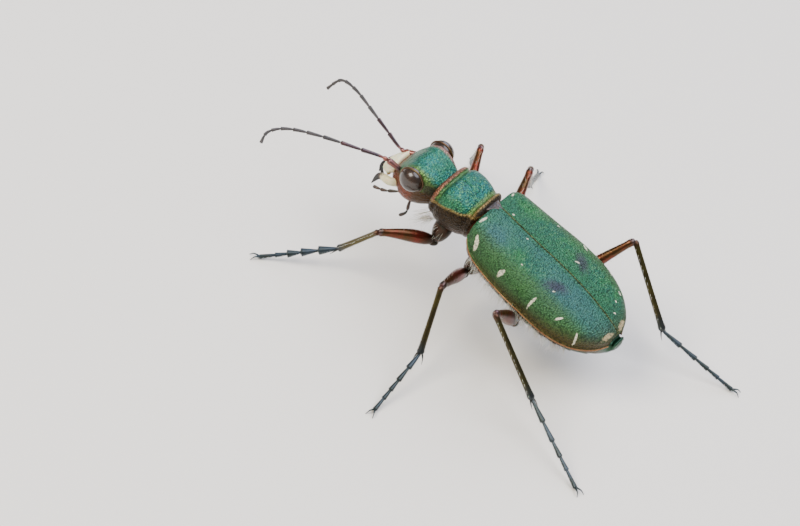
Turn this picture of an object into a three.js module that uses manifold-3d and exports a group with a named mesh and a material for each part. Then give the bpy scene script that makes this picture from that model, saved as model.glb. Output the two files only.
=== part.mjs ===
// A green tiger beetle, life size, standing still on six legs with its feelers spread.
// Millimetres. In the trunk's own frame X is the beetle's left, Y its tail and Z its back, and
// the origin is the tip of the scutellum, the small triangle where the wing cases meet.
import * as THREE from "three";
import { mergeVertices } from "three/addons/utils/BufferGeometryUtils.js";
import Module from "manifold-3d";

const wasm = await Module();
wasm.setup();

// Stance
const BACK_HEIGHT = 6.3; // scutellum tip above the floor
const BODY_PITCH = 5; // degrees, head up
const GAP = 0.2; // between pieces that meet

// Wing cases and trunk
const WING_CASE_THICKNESS = 0.5;
const CAVITY_DROP = 1.5; // how far the wing cases' hollow is cut below their rim
const BELT = 3.7; // where the thorax ends and the abdomen begins
const TRUNK_SIDES = 24;
const FAR = 30; // past every part of the beetle
const SCUTELLUM = { halfWidth: 0.5, front: -0.35, tip: 0.1, top: 0.3, depth: 0.8, tilt: 7 };
const BEAD_RADIUS = 0.13; // of the wing cases' rims and of the pronotum's side edges
const GROOVE_RADIUS = 0.1; // of the furrow along the pronotum's middle

// Head
const HEAD_ROLL = { degrees: 8, height: -1.2 }; // left side down, about a line along the trunk
const EYE_RADII = [0.55, 0.66, 0.68];
const EYE_CENTRE = [1.26, -4.38, -0.56];
const LABRUM = { halfWidth: 0.78, length: 0.85, thickness: 0.34, slope: 62, y: -5.66, z: -1.58 };

// Limbs
const LIMB_SIDES = 10;
const FEELER_SIDES = 9;
const TIBIA_RADIUS = 0.25;
const SPURS = { length: 0.55, radius: 0.12, tip: 0.04, sunk: 0.35, splay: 0.8 };
const CLAWS = { length: 0.5, radius: 0.12, bend: 0.1, tip: 0.04, spread: 24 }; // spread in degrees
const TARSUS = { start: 0.18, waist: 0.21, knob: 0.26, end: 0.17 }; // radii along the joints
const FOOT_HEIGHT = 0.13; // of the last foot joint's tip, whose underside is flattened

// Wing-case sections along the body, from the shoulders to the tip
const WING_STATIONS = [
  { y: -0.3, halfWidth: 1.95, top: 0.2, rim: -0.75 },
  { y: 0.05, halfWidth: 2.25, top: 0.3, rim: -1.05 },
  { y: 0.8, halfWidth: 2.48, top: 0.22, rim: -1.4 },
  { y: 2.4, halfWidth: 2.7, top: 0.01, rim: -1.65 },
  { y: 4.2, halfWidth: 2.84, top: -0.17, rim: -1.78 },
  { y: 5.8, halfWidth: 2.77, top: -0.45, rim: -1.95 },
  { y: 7.1, halfWidth: 2.3, top: -0.82, rim: -2.04 },
  { y: 8.0, halfWidth: 1.45, top: -1.18, rim: -2.02 },
  { y: 8.4, halfWidth: 0.6, top: -1.45, rim: -1.95 },
];
const WING_CROWN = 4.2;
const WING_FLOOR = 0.12; // how far the side walls go on down past their widest line

// Belly line below the wing cases, at the same stations
const BELLY = [-2.1, -2.4, -2.6, -2.8, -2.95, -2.9, -2.85, -2.8, -2.7];
const BELLY_INSET = 0.3; // of the belly's sides from the wing cases' rim
const PLATE = { start: 3.7, length: 0.85, step: 0.12 }; // belly plates, each ending in a step
const TAIL_TIP = { y: 8.7, halfWidth: 0.35, top: -1.75, widest: -2.0, bottom: -2.2 };

const PRONOTUM_STATIONS = [
  { y: -0.55, halfWidth: 1.22, top: 0.08, widest: -0.9, bottom: -2.2 },
  { y: -0.7, halfWidth: 1.32, top: 0.19, widest: -0.9, bottom: -2.35 },
  { y: -0.9, halfWidth: 1.28, top: 0.02, widest: -0.9, bottom: -2.4 },
  { y: -1.25, halfWidth: 1.48, top: 0.1, widest: -0.95, bottom: -2.5 },
  { y: -1.85, halfWidth: 1.62, top: 0.22, widest: -1.0, bottom: -2.55 },
  { y: -2.4, halfWidth: 1.6, top: 0.19, widest: -1.05, bottom: -2.45 },
  { y: -2.68, halfWidth: 1.48, top: -0.02, widest: -1.1, bottom: -2.3 },
  { y: -2.85, halfWidth: 1.5, top: 0.06, widest: -1.1, bottom: -2.2 },
  { y: -3.02, halfWidth: 1.4, top: -0.04, widest: -1.1, bottom: -2.1 },
];
const PRONOTUM_EDGE = [[1.3, -0.66, -0.26], [1.48, -1.2, -0.42], [1.6, -1.85, -0.5], [1.5, -2.6, -0.75]];
const PRONOTUM_GROOVE = [[0, -1.05, 0.1], [0, -1.85, 0.27], [0, -2.55, 0.17]];

const HEAD_STATIONS = [
  { y: -3.22, halfWidth: 1.0, top: -0.12, widest: -1.1, bottom: -2.1 },
  { y: -3.7, halfWidth: 1.2, top: 0.08, widest: -1.2, bottom: -2.45 },
  { y: -4.3, halfWidth: 1.28, top: 0.18, widest: -1.3, bottom: -2.75 },
  { y: -4.8, halfWidth: 1.2, top: 0, widest: -1.45, bottom: -2.75 },
  { y: -5.2, halfWidth: 1.0, top: -0.52, widest: -1.6, bottom: -2.45 },
  { y: -5.5, halfWidth: 0.86, top: -1.1, widest: -1.8, bottom: -2.25 },
  { y: -5.62, halfWidth: 0.7, top: -1.42, widest: -1.85, bottom: -2.15 },
];

// Each leg's hip in the trunk's frame, and each length's bearing: yaw from straight out to the
// side, toward the tail, and pitch above the level. The tarsus slopes down to the floor.
const LEGS = [
  {
    name: "front_left",
    hip: [1.1, -1.9, -3.3],
    femur: { length: 3.4, yaw: -37, pitch: 13 },
    tibia: { length: 3.0, yaw: -88, pitch: -56 },
    tarsus: { length: 4.0, yaw: -50 },
  },
  {
    name: "middle_left",
    hip: [1.65, 0.4, -3.15],
    femur: { length: 3.5, yaw: 5, pitch: 23 },
    tibia: { length: 3.55, yaw: 27, pitch: -58 },
    tarsus: { length: 3.85, yaw: 3 },
  },
  {
    name: "hind_left",
    hip: [1.75, 3.9, -3.55],
    femur: { length: 4.55, yaw: 1, pitch: 41 },
    tibia: { length: 4.85, yaw: 92, pitch: -45 },
    tarsus: { length: 4.85, yaw: 72 },
  },
  {
    name: "front_right",
    hip: [-1.1, -1.9, -3.3],
    femur: { length: 4.05, yaw: -26, pitch: 35 },
    tibia: { length: 3.2, yaw: -23, pitch: -53 },
    tarsus: { length: 3.9, yaw: -20 },
  },
  {
    name: "middle_right",
    hip: [-1.65, 0.4, -3.15],
    femur: { length: 4.2, yaw: -19, pitch: 32 },
    tibia: { length: 3.8, yaw: -14, pitch: -53 },
    tarsus: { length: 4.2, yaw: -15 },
  },
  {
    name: "hind_right",
    hip: [-1.75, 3.95, -3.5],
    femur: { length: 4.8, yaw: 31, pitch: 38 },
    tibia: { length: 4.95, yaw: 98, pitch: -46 },
    tarsus: { length: 4.75, yaw: 74 },
  },
];

// Where each pair of coxae is rooted in the trunk, on the left side
const COXA_ROOTS = {
  front: [0.72, -1.9, -1.7],
  middle: [0.95, 0.75, -1.9],
  hind: [0.8, 3.2, -2.1],
};
const COXA_RADII = { front: 0.5, middle: 0.5, hind: 0.52 };

// Femur, tibia and tarsus radii at shares of their length
const COXA_GIRTHS = [[0, 1], [0.55, 1], [0.9, 0.74], [1, 0.5]];
const FEMUR_GIRTHS = [[0, 0.22], [0.1, 0.36], [0.4, 0.4], [0.75, 0.31], [0.96, 0.29], [1, 0.2]];
const TIBIA_GIRTHS = [[0, 0.8], [0.06, 1], [0.85, 1], [0.97, 1.16], [1, 0.8]];
const TARSOMERES = [0, 0.26, 0.48, 0.655, 0.805, 1]; // shares of the tarsus where its five joints end

// The feelers' lines from root to tip, in the trunk's frame
const FEELER_LINES = {
  left: [
    [0.84, -5.35, -1.2],
    [1.2, -6.25, -0.92],
    [1.9, -7.4, -0.84],
    [3.0, -9.15, -0.76],
    [4.0, -10.5, -0.8],
    [4.8, -11.1, -1.05],
    [5.35, -11.0, -1.45],
  ],
  right: [
    [-0.84, -5.35, -1.2],
    [-0.78, -6.2, -1.6],
    [-1.4, -7.6, -1.8],
    [-1.95, -8.8, -1.95],
    [-2.7, -10.45, -2.2],
    [-3.0, -11.5, -2.6],
    [-2.85, -11.95, -3.55],
  ],
};
const FEELER_RADIUS = 0.25;
const FEELER_JOINTS = [0, 0.1, 0.135, 0.29, 0.43, 0.55, 0.66, 0.75, 0.83, 0.89, 0.945, 1];
const FEELER_PIECES = { scape: [0, 2], flagellum_base: [2, 6], flagellum_tip: [6, 11] };

// The jaws cross at their tips, the right one in front and below, and hang from the head's own frame
const MANDIBLE_LINES = {
  left: [[0.8, -5.2, -2.1], [1.1, -5.5, -2.1], [0.98, -6.14, -2.4], [0.72, -6.5, -3.6]],
  right: [[-0.8, -5.2, -2.1], [-0.9, -6.0, -2.3], [-0.1, -6.66, -2.95], [0.45, -5.85, -3.1]],
};
const MANDIBLE_GIRTHS = [0.28, 0.3, 0.24, 0.07];
const MAXILLARY_PALP_LINE = [[0.85, -4.6, -2.2], [1.1, -5.15, -2.62], [1.2, -5.6, -2.92], [1.25, -6.15, -3.1]];
const LABIAL_PALP_LINE = [[0.4, -4.3, -2.3], [0.6, -4.25, -3.0], [0.75, -4.15, -3.6], [0.85, -4.4, -4.05]];
const PALP_GIRTHS = [0.2, 0.22, 0.23, 0.14];

const radians = THREE.MathUtils.degToRad;
const vec = (x, y, z) => new THREE.Vector3(x, y, z);

/** A Catmull-Rom value between b and c, at t from 0 to 1. */
function easedBetween(t, a, b, c, d) {
  const [start, end] = [(c - a) / 2, (d - b) / 2];
  const rise = c - b;
  return b + t * (start + t * (3 * rise - 2 * start - end + t * (start + end - 2 * rise)));
}

/** The listed stations with steps - 1 more between each two, every field eased through them. */
function eased(stations, steps) {
  const last = stations.length - 1;
  const at = (i, field) => stations[THREE.MathUtils.clamp(i, 0, last)][field];
  const made = [];
  for (let i = 0; i < last; i++)
    for (let step = 0; step < steps; step++) {
      const station = {};
      for (const field of Object.keys(stations[0])) {
        const values = [-1, 0, 1, 2].map((offset) => at(i + offset, field));
        station[field] = easedBetween(step / steps, ...values);
      }
      made.push(station);
    }
  return [...made, stations[last]];
}

/** A closed surface from its points and triangles, its faces turned to point out. */
function closedGeometry(points, index) {
  const geometry = new THREE.BufferGeometry().setFromPoints(points);
  let volume = 0;
  for (let i = 0; i < index.length; i += 3) {
    const [a, b, c] = index.slice(i, i + 3).map((corner) => points[corner]);
    volume += a.dot(b.clone().cross(c));
  }
  return geometry.setIndex(volume < 0 ? [...index].reverse() : index);
}

/** A closed skin over a row of rings that all have as many points, with a fan over each end. */
function loft(rings) {
  const sides = rings[0].length;
  const middle = (ring) => ring.reduce((sum, p) => sum.add(p), vec(0, 0, 0)).divideScalar(sides);
  const points = [...rings.flat(), middle(rings[0]), middle(rings.at(-1))];
  const [firstHub, lastHub] = [points.length - 2, points.length - 1];
  const lastRing = (rings.length - 1) * sides;
  const index = [];
  for (let side = 0; side < sides; side++) {
    const next = (side + 1) % sides;
    for (let start = 0; start < lastRing; start += sides) {
      index.push(start + side, start + next, start + sides + next);
      index.push(start + side, start + sides + next, start + sides + side);
    }
    index.push(firstHub, next, side, lastHub, lastRing + side, lastRing + next);
  }
  return closedGeometry(points, index);
}

/** A trunk section square to Y. It is widest at one height, and crown and keel say how square it is. */
function trunkRing({ y, halfWidth, top, widest, bottom, crown, keel }) {
  return Array.from({ length: TRUNK_SIDES }, (_, i) => {
    const angle = (2 * Math.PI * i) / TRUNK_SIDES;
    const [across, up] = [Math.cos(angle), Math.sin(angle)];
    const power = 2 / (up >= 0 ? crown : keel);
    const reach = up >= 0 ? top - widest : widest - bottom;
    const x = halfWidth * Math.sign(across) * Math.abs(across) ** power;
    return vec(x, y, widest + reach * Math.sign(up) * Math.abs(up) ** power);
  });
}

/** A closed body over trunk sections, grown outward on every side. */
function trunkBody(stations, grow, crown, keel) {
  const last = stations.length - 1;
  const rings = stations.map((station, i) => {
    const outward = Math.sign(stations[last].y - stations[0].y);
    const end = i === 0 ? -outward : i === last ? outward : 0;
    return trunkRing({
      y: station.y + end * grow,
      halfWidth: station.halfWidth + grow,
      top: station.top + grow,
      widest: station.widest,
      bottom: station.bottom - grow,
      crown,
      keel,
    });
  });
  return loft(rings);
}

/** A round bar along a row of points, with a radius at each. */
function bar(path, radii, sides = LIMB_SIDES) {
  const rings = path.map((point, i) => {
    const ahead = path[Math.min(i + 1, path.length - 1)];
    const along = ahead.clone().sub(path[Math.max(i - 1, 0)]).normalize();
    const level = along.clone().cross(vec(0, 0, 1)).normalize();
    const upright = level.clone().cross(along);
    return Array.from({ length: sides }, (_, side) => {
      const angle = (2 * Math.PI * side) / sides;
      const offset = level.clone().multiplyScalar(Math.cos(angle));
      offset.addScaledVector(upright, Math.sin(angle));
      return point.clone().addScaledVector(offset, radii[i]);
    });
  });
  return loft(rings);
}

/** A straight bar with radii at shares of its length, grown outward on every side. */
function straightBar(from, to, girths, scale = 1, grow = 0) {
  const along = to.clone().sub(from).normalize();
  const path = girths.map(([share]) => from.clone().lerp(to, share));
  path[0].addScaledVector(along, -grow);
  path.at(-1).addScaledVector(along, grow);
  return bar(path, girths.map(([, radius]) => radius * scale + grow));
}

/** An ellipsoid with its poles to the left and right. */
function ellipsoid(centre, radii, grow = 0) {
  return new THREE.SphereGeometry(1, 20, 12)
    .rotateZ(Math.PI / 2)
    .scale(...radii.map((radius) => radius + grow))
    .translate(...centre);
}

/** A box between two corners. */
function block(low, high) {
  const size = high.map((value, axis) => value - low[axis]);
  const middle = high.map((value, axis) => (value + low[axis]) / 2);
  return new THREE.BoxGeometry(...size).translate(...middle);
}

/** A geometry as a manifold solid. */
function solid(geometry) {
  const bare = geometry.clone();
  bare.deleteAttribute("normal");
  bare.deleteAttribute("uv");
  const merged = mergeVertices(bare, 1e-4);
  const mesh = new wasm.Mesh({
    numProp: 3,
    vertProperties: merged.attributes.position.array,
    triVerts: new Uint32Array(merged.index.array),
  });
  return new wasm.Manifold(mesh);
}

/** The largest body of a manifold solid as a geometry. */
function geometryOf(made) {
  const [largest] = made.decompose().sort((a, b) => b.volume() - a.volume());
  const { vertProperties, triVerts } = largest.getMesh();
  return new THREE.BufferGeometry()
    .setAttribute("position", new THREE.BufferAttribute(vertProperties, 3))
    .setIndex(new THREE.BufferAttribute(triVerts, 1));
}

/** Several geometries joined, less the tools that cut them. */
function carve(pieces, tools = []) {
  const joined = pieces.map(solid).reduce((all, piece) => all.add(piece));
  return geometryOf(tools.map(solid).reduce((left, tool) => left.subtract(tool), joined));
}

// Cuticle colours
const FINISHES = {
  wingCase: { color: 0x2f7a4c, roughness: 0.45, metalness: 0.35 },
  shield: { color: 0x1f8a78, roughness: 0.4, metalness: 0.5 },
  bronze: { color: 0x5a4a1c, roughness: 0.35, metalness: 0.6 },
  copper: { color: 0x8a3f2e, roughness: 0.3, metalness: 0.6 },
  steel: { color: 0x47565c, roughness: 0.45, metalness: 0.4 },
  feeler: { color: 0x3a3433, roughness: 0.6, metalness: 0.2 },
  eye: { color: 0x2a2119, roughness: 0.15, metalness: 0 },
  cream: { color: 0xe6dcae, roughness: 0.45, metalness: 0 },
  jaw: { color: 0x2c2015, roughness: 0.3, metalness: 0.1 },
};

/** Adds a named piece to a group, in a finish of its own. */
function place(group, name, geometry, finish) {
  const mesh = new THREE.Mesh(geometry, new THREE.MeshStandardMaterial(FINISHES[finish]));
  mesh.name = name;
  group.add(mesh);
}

const beetle = new THREE.Group();
const trunk = new THREE.Group();
trunk.rotation.x = -radians(BODY_PITCH);
beetle.add(trunk);
trunk.updateMatrixWorld(true);
const inStance = (point) => vec(...point).applyMatrix4(trunk.matrixWorld);
const stance = (geometry) => geometry.clone().applyMatrix4(trunk.matrixWorld);
const sides = [["left", 1], ["right", -1]];
const mirrored = (line, sign) => line.map(([x, y, z]) => vec(x * sign, y, z));

/** A geometry of the head turned by the head's roll. */
function rolled(geometry) {
  const { degrees, height } = HEAD_ROLL;
  return geometry.translate(0, 0, -height).rotateY(radians(degrees)).translate(0, 0, height);
}

// Bodies that others are set against, as functions of how far they are grown
const head = (grow) => rolled(trunkBody(eased(HEAD_STATIONS, 2), grow, 5, 3));
const pronotum = (grow) => trunkBody(eased(PRONOTUM_STATIONS, 1), grow, 3.6, 2.1);
const hindBody = (grow) => {
  const stations = WING_STATIONS.map(({ y, halfWidth, top, rim }, i) => ({
    y,
    halfWidth: Math.max(halfWidth - BELLY_INSET, 0.5),
    top: Math.max(top - WING_CASE_THICKNESS - GAP, rim + 0.05),
    widest: rim - 0.3,
    bottom: BELLY[i],
  }));
  const plated = eased(stations, 3).map((station) => {
    const along = (station.y - PLATE.start) / PLATE.length;
    const share = along > 0 ? along - Math.floor(along) : 0;
    return { ...station, bottom: station.bottom - PLATE.step * share };
  });
  return trunkBody([...plated, TAIL_TIP], grow, WING_CROWN, 2.4);
};

/** The small triangle between the wing cases, grown outward. */
function scutellum(grow) {
  const { halfWidth, front, tip, top, depth, tilt } = SCUTELLUM;
  const outline = new THREE.Shape()
    .moveTo(-halfWidth - grow, front - grow)
    .lineTo(halfWidth + grow, front - grow)
    .lineTo(0, tip + 1.6 * grow);
  const plate = new THREE.ExtrudeGeometry(outline, { depth: depth + 2 * grow, bevelEnabled: false });
  return plate.translate(0, 0, top - depth - grow).rotateX(radians(tilt));
}

/** The wing cases' dome, taken in on every side but its floor. */
function wingDome(inset, floorDrop) {
  const [front, back] = [WING_STATIONS[0].y, WING_STATIONS.at(-1).y];
  const stations = WING_STATIONS.map(({ y, halfWidth, top, rim }) => ({
    y: THREE.MathUtils.mapLinear(y, front, back, front + inset, back - inset * 0.8),
    halfWidth: Math.max(halfWidth - inset, 0.15),
    top: Math.max(top - inset, rim + 0.05),
    widest: rim,
    bottom: rim - floorDrop,
  }));
  return trunkBody(eased(stations, 2), 0, WING_CROWN, 6);
}

/** The room that the wing cases take up, with the gap round them. */
function wingRoom() {
  return carve([wingDome(-GAP, WING_FLOOR + GAP)], [wingDome(WING_CASE_THICKNESS + GAP, CAVITY_DROP)]);
}

/** The rounded bead along one wing case's rim, from behind the shoulder to the tip. */
function rimBead(sign) {
  const stations = eased(WING_STATIONS.slice(1), 2);
  const sunk = BEAD_RADIUS / 2;
  const line = stations.map(({ y, halfWidth, rim }) => vec(sign * (halfWidth - sunk), y, rim));
  return bar(line, line.map(() => BEAD_RADIUS), 6);
}

function addWingCases() {
  const cavity = wingDome(WING_CASE_THICKNESS, CAVITY_DROP);
  for (const [side, sign] of sides) {
    const otherHalf = block([-FAR, -FAR, -FAR], [GAP / 2, FAR, FAR]);
    if (sign < 0) otherHalf.rotateZ(Math.PI);
    const tools = [cavity, otherHalf, scutellum(GAP)];
    place(trunk, `elytron_${side}`, carve([wingDome(0, WING_FLOOR), rimBead(sign)], tools), "wingCase");
  }
  place(trunk, "scutellum", scutellum(0), "bronze");
}

function addTrunk() {
  const behindBelt = block([-FAR, BELT, -FAR], [FAR, FAR, FAR]);
  const aheadOfBelt = block([-FAR, -FAR, -FAR], [FAR, BELT + GAP, FAR]);
  place(trunk, "thorax", carve([hindBody(0)], [behindBelt, wingRoom(), scutellum(GAP)]), "bronze");
  place(trunk, "abdomen", carve([hindBody(0)], [aheadOfBelt, wingRoom()]), "bronze");
  const cord = (points, sign, radius) => {
    const line = new THREE.CatmullRomCurve3(mirrored(points, sign)).getPoints(8);
    return bar(line, line.map(() => radius), 6);
  };
  const edges = sides.map(([, sign]) => cord(PRONOTUM_EDGE, sign, BEAD_RADIUS));
  const groove = cord(PRONOTUM_GROOVE, 1, GROOVE_RADIUS);
  place(trunk, "pronotum", carve([pronotum(0), ...edges], [groove, head(GAP)]), "shield");
}

function labrum(grow) {
  const { halfWidth, length, thickness, slope, y, z } = LABRUM;
  const outline = new THREE.Shape()
    .moveTo(-halfWidth - grow, -grow)
    .lineTo(halfWidth + grow, -grow)
    .quadraticCurveTo(halfWidth + grow, length * 0.7, halfWidth * 0.45, length * 0.85 + grow)
    .lineTo(0, length + grow)
    .lineTo(-halfWidth * 0.45, length * 0.85 + grow)
    .quadraticCurveTo(-halfWidth - grow, length * 0.7, -halfWidth - grow, -grow);
  const depth = thickness + 2 * grow;
  const plate = new THREE.ExtrudeGeometry(outline, { depth, bevelEnabled: false, curveSegments: 5 });
  plate.translate(0, 0, -depth / 2).rotateZ(Math.PI).rotateX(radians(slope));
  return rolled(plate.translate(0, y, z));
}

function eye(sign, grow) {
  const [x, y, z] = EYE_CENTRE;
  return rolled(ellipsoid([sign * x, y, z], EYE_RADII, grow));
}

/** One sickle-shaped jaw, grown outward. */
function jaw(side, grow) {
  const steps = 6;
  const line = new THREE.CatmullRomCurve3(mirrored(MANDIBLE_LINES[side], 1)).getPoints(steps);
  return rolled(bar(line, spread(MANDIBLE_GIRTHS, steps).map((girth) => girth + grow)));
}

function addHead() {
  const scapes = sides.map(([side]) => feelerPiece(side, "scape", GAP));
  place(trunk, "head", carve([head(0)], [eye(1, GAP), eye(-1, GAP)]), "shield");
  place(trunk, "labrum", carve([labrum(0)], [head(GAP), ...scapes]), "cream");
  for (const [side, sign] of sides) {
    place(trunk, `eye_${side}`, eye(sign, 0), "eye");
    place(trunk, `mandible_${side}`, carve([jaw(side, 0)], [head(GAP), labrum(GAP), ...scapes]), "jaw");
    for (const [name, line] of [["maxillary", MAXILLARY_PALP_LINE], ["labial", LABIAL_PALP_LINE]]) {
      const palp = rolled(bar(mirrored(line, sign), PALP_GIRTHS, 8));
      place(trunk, `${name}_palp_${side}`, carve([palp], [head(GAP), jaw(side, GAP)]), "feeler");
    }
  }
}

/** A list of numbers stretched to steps + 1 values by straight lines between them. */
function spread(values, steps) {
  return Array.from({ length: steps + 1 }, (_, i) => {
    const share = (i / steps) * (values.length - 1);
    const low = Math.min(Math.floor(share), values.length - 2);
    return THREE.MathUtils.lerp(values[low], values[low + 1], share - low);
  });
}

const feelerCurve = (side) => new THREE.CatmullRomCurve3(mirrored(FEELER_LINES[side], 1));

/** One length of a feeler with the joints that it holds, grown outward. */
function feelerPiece(side, name, grow) {
  const curve = feelerCurve(side);
  const [first, last] = FEELER_PIECES[name];
  const [path, radii] = [[], []];
  const taper = (share) => FEELER_RADIUS * (1 - 0.22 * share);
  for (let joint = first; joint < last; joint++) {
    const [start, end] = [FEELER_JOINTS[joint], FEELER_JOINTS[joint + 1]];
    path.push(curve.getPointAt(start + 0.1 * (end - start)), curve.getPointAt(end - 0.12 * (end - start)));
    radii.push(taper(start) * 0.86 + grow, taper(end) + grow);
  }
  path.push(curve.getPointAt(FEELER_JOINTS[last]));
  radii.push(last === FEELER_JOINTS.length - 1 ? 0.08 + grow : taper(1) * 0.8 + grow);
  path.unshift(curve.getPointAt(FEELER_JOINTS[first]));
  radii.unshift(taper(0) * 0.7 + grow);
  return bar(path, radii, FEELER_SIDES);
}

function addFeelers() {
  for (const [side] of sides) {
    let carrier = head(GAP);
    for (const name of Object.keys(FEELER_PIECES)) {
      const finish = name === "flagellum_tip" ? "feeler" : "copper";
      place(trunk, `${name}_${side}`, carve([feelerPiece(side, name, 0)], [carrier]), finish);
      carrier = feelerPiece(side, name, GAP);
    }
  }
}

/** A unit vector from a yaw and a pitch, on the side that sign names. */
function bearing(yaw, pitch, sign) {
  const level = Math.cos(radians(pitch));
  return vec(sign * level * Math.cos(radians(yaw)), level * Math.sin(radians(yaw)), Math.sin(radians(pitch)));
}

function tarsusPieces(start, end, sign) {
  const along = end.clone().sub(start);
  const [path, radii] = [[start.clone()], [TARSUS.start]];
  for (let joint = 0; joint + 1 < TARSOMERES.length; joint++) {
    const [from, to] = [TARSOMERES[joint], TARSOMERES[joint + 1]];
    path.push(start.clone().addScaledVector(along, from + 0.15 * (to - from)));
    path.push(start.clone().addScaledVector(along, to - 0.1 * (to - from)));
    radii.push(TARSUS.waist, TARSUS.knob - 0.03 * (joint / 4));
  }
  path.push(end.clone());
  radii.push(TARSUS.end);
  const forward = vec(along.x, along.y, 0).normalize();
  const claws = [-1, 1].map((turn) => {
    const line = forward.clone().applyAxisAngle(vec(0, 0, 1), turn * radians(CLAWS.spread));
    const from = end.clone().addScaledVector(forward, -CLAWS.radius);
    const tip = end.clone().addScaledVector(line, CLAWS.length);
    tip.z = -BACK_HEIGHT + 0.02;
    const bend = from.clone().lerp(tip, 0.6);
    bend.z = THREE.MathUtils.lerp(end.z, tip.z, 0.3);
    return bar([from, bend, tip], [CLAWS.radius, CLAWS.bend, CLAWS.tip], 6);
  });
  return [bar(path, radii), ...claws];
}

/** The two spurs at a tibia's end, set out sideways and cut clear of the tarsus. */
function spurs(knee, ankle, tarsus) {
  const along = ankle.clone().sub(knee).normalize();
  const across = along.clone().cross(vec(0, 0, 1)).normalize();
  const { length, radius, tip, sunk, splay } = SPURS;
  return [-1, 1].map((turn) => {
    const root = ankle.clone().addScaledVector(along, -sunk);
    const heading = along.clone().addScaledVector(across, turn * splay).normalize();
    const end = root.clone().addScaledVector(heading, sunk + length);
    const spur = bar([root, root.clone().lerp(end, 0.5), end], [radius, radius, tip], 6);
    return carve([spur], [tarsus]);
  });
}

function addLegs() {
  const floor = block([-FAR, -FAR, -FAR], [FAR, FAR, -BACK_HEIGHT]);
  for (const { name, hip, femur, tibia, tarsus } of LEGS) {
    const sign = Math.sign(hip[0]);
    const pair = name.split("_")[0];
    const root = inStance([COXA_ROOTS[pair][0] * sign, ...COXA_ROOTS[pair].slice(1)]);
    const hipPoint = inStance(hip);
    const knee = hipPoint.clone().addScaledVector(bearing(femur.yaw, femur.pitch, sign), femur.length);
    const ankle = knee.clone().addScaledVector(bearing(tibia.yaw, tibia.pitch, sign), tibia.length);
    const drop = ankle.z + BACK_HEIGHT - FOOT_HEIGHT;
    const slope = -THREE.MathUtils.radToDeg(Math.asin(drop / tarsus.length));
    const foot = ankle.clone().addScaledVector(bearing(tarsus.yaw, slope, sign), tarsus.length);

    const coxa = (grow) => straightBar(root, hipPoint, COXA_GIRTHS, COXA_RADII[pair], grow);
    const thigh = (grow) => straightBar(hipPoint, knee, FEMUR_GIRTHS, 1, grow);
    const shin = (grow) => straightBar(knee, ankle, TIBIA_GIRTHS, TIBIA_RADIUS, grow);
    const carrier = pair === "front" ? pronotum(GAP) : hindBody(GAP);
    place(beetle, `coxa_${name}`, carve([coxa(0)], [stance(carrier)]), "copper");
    place(beetle, `femur_${name}`, carve([thigh(0)], [coxa(GAP), stance(carrier)]), "copper");
    const tarsusRoom = straightBar(ankle, foot, [[0, 1], [1, 1]], TARSUS.knob, GAP);
    const spurPair = spurs(knee, ankle, tarsusRoom);
    place(beetle, `tibia_${name}`, carve([shin(0), ...spurPair], [thigh(GAP)]), "bronze");
    place(beetle, `tarsus_${name}`, carve(tarsusPieces(ankle, foot, sign), [shin(GAP), floor]), "steel");
  }
}

addWingCases();
addTrunk();
addHead();
addFeelers();
addLegs();

// The whole stands on the floor with its origin under the middle of its box
const model = new THREE.Group();
model.add(beetle);
model.updateMatrixWorld(true);
const box = new THREE.Box3().setFromObject(model, true);
const middle = box.getCenter(vec(0, 0, 0));
beetle.position.set(-middle.x, -middle.y, -box.min.z);

export default model;
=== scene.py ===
"""A green tiger beetle, life size, as a still model: wing cases, shield, head, feelers and six legs.

Sizes are in millimetres. The trunk's own frame has X to the beetle's left, Y to its tail and Z to
its back, with its origin at the tip of the scutellum, the small triangle between the wing cases.
"""

import logging
import math
from dataclasses import dataclass, field
from enum import Enum
from typing import Callable, Sequence

import bmesh
import bpy
import numpy as np
from mathutils import Matrix, Vector

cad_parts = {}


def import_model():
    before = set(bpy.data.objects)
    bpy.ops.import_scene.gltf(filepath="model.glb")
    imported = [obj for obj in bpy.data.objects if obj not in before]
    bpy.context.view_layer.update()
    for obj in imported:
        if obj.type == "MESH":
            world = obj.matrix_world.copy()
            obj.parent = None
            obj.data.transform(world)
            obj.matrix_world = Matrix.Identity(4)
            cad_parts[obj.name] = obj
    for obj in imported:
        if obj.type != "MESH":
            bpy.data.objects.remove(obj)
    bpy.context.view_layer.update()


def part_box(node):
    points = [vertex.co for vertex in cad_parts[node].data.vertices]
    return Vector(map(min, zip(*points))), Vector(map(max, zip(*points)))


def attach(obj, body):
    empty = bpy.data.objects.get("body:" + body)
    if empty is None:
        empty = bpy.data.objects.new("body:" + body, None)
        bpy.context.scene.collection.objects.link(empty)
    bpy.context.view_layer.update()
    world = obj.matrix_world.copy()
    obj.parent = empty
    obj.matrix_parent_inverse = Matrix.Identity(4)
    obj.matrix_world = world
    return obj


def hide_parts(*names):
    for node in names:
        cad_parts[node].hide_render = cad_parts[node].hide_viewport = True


LOG = logging.getLogger("tiger_beetle")
MM = 0.001
BODY = "root"
SEED = 20260
UP = np.array([0.0, 0.0, 1.0])
SIDES = (("left", 1), ("right", -1))
# In how many steps a curve, a limb's girth and the outline of a section are worked out
CURVE_STEPS = 24
GIRTH_STEPS = 12
OUTLINE_STEPS = 480
# How coarse the ragged edges of marks are, and how deep light goes into pale chitin
WANDER_MM = 0.16
GLOW_MM = 0.15
# Between which values of their patterns the clouds and the painted shade in the hollows blend, and how
# strongly flecks show
CLOUD_EDGES = (0.35, 0.65)
PIT_SHADE_EDGES = (0.35, 0.8)
FLECK_TOP = 0.6

Point = tuple[float, float, float]
Curve = tuple[Point, ...]
Table = Sequence[Sequence[float]]
Faces = Sequence[tuple[int, ...]]
Material = bpy.types.Material
Tree = bpy.types.NodeTree
Socket = bpy.types.NodeSocket


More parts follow.
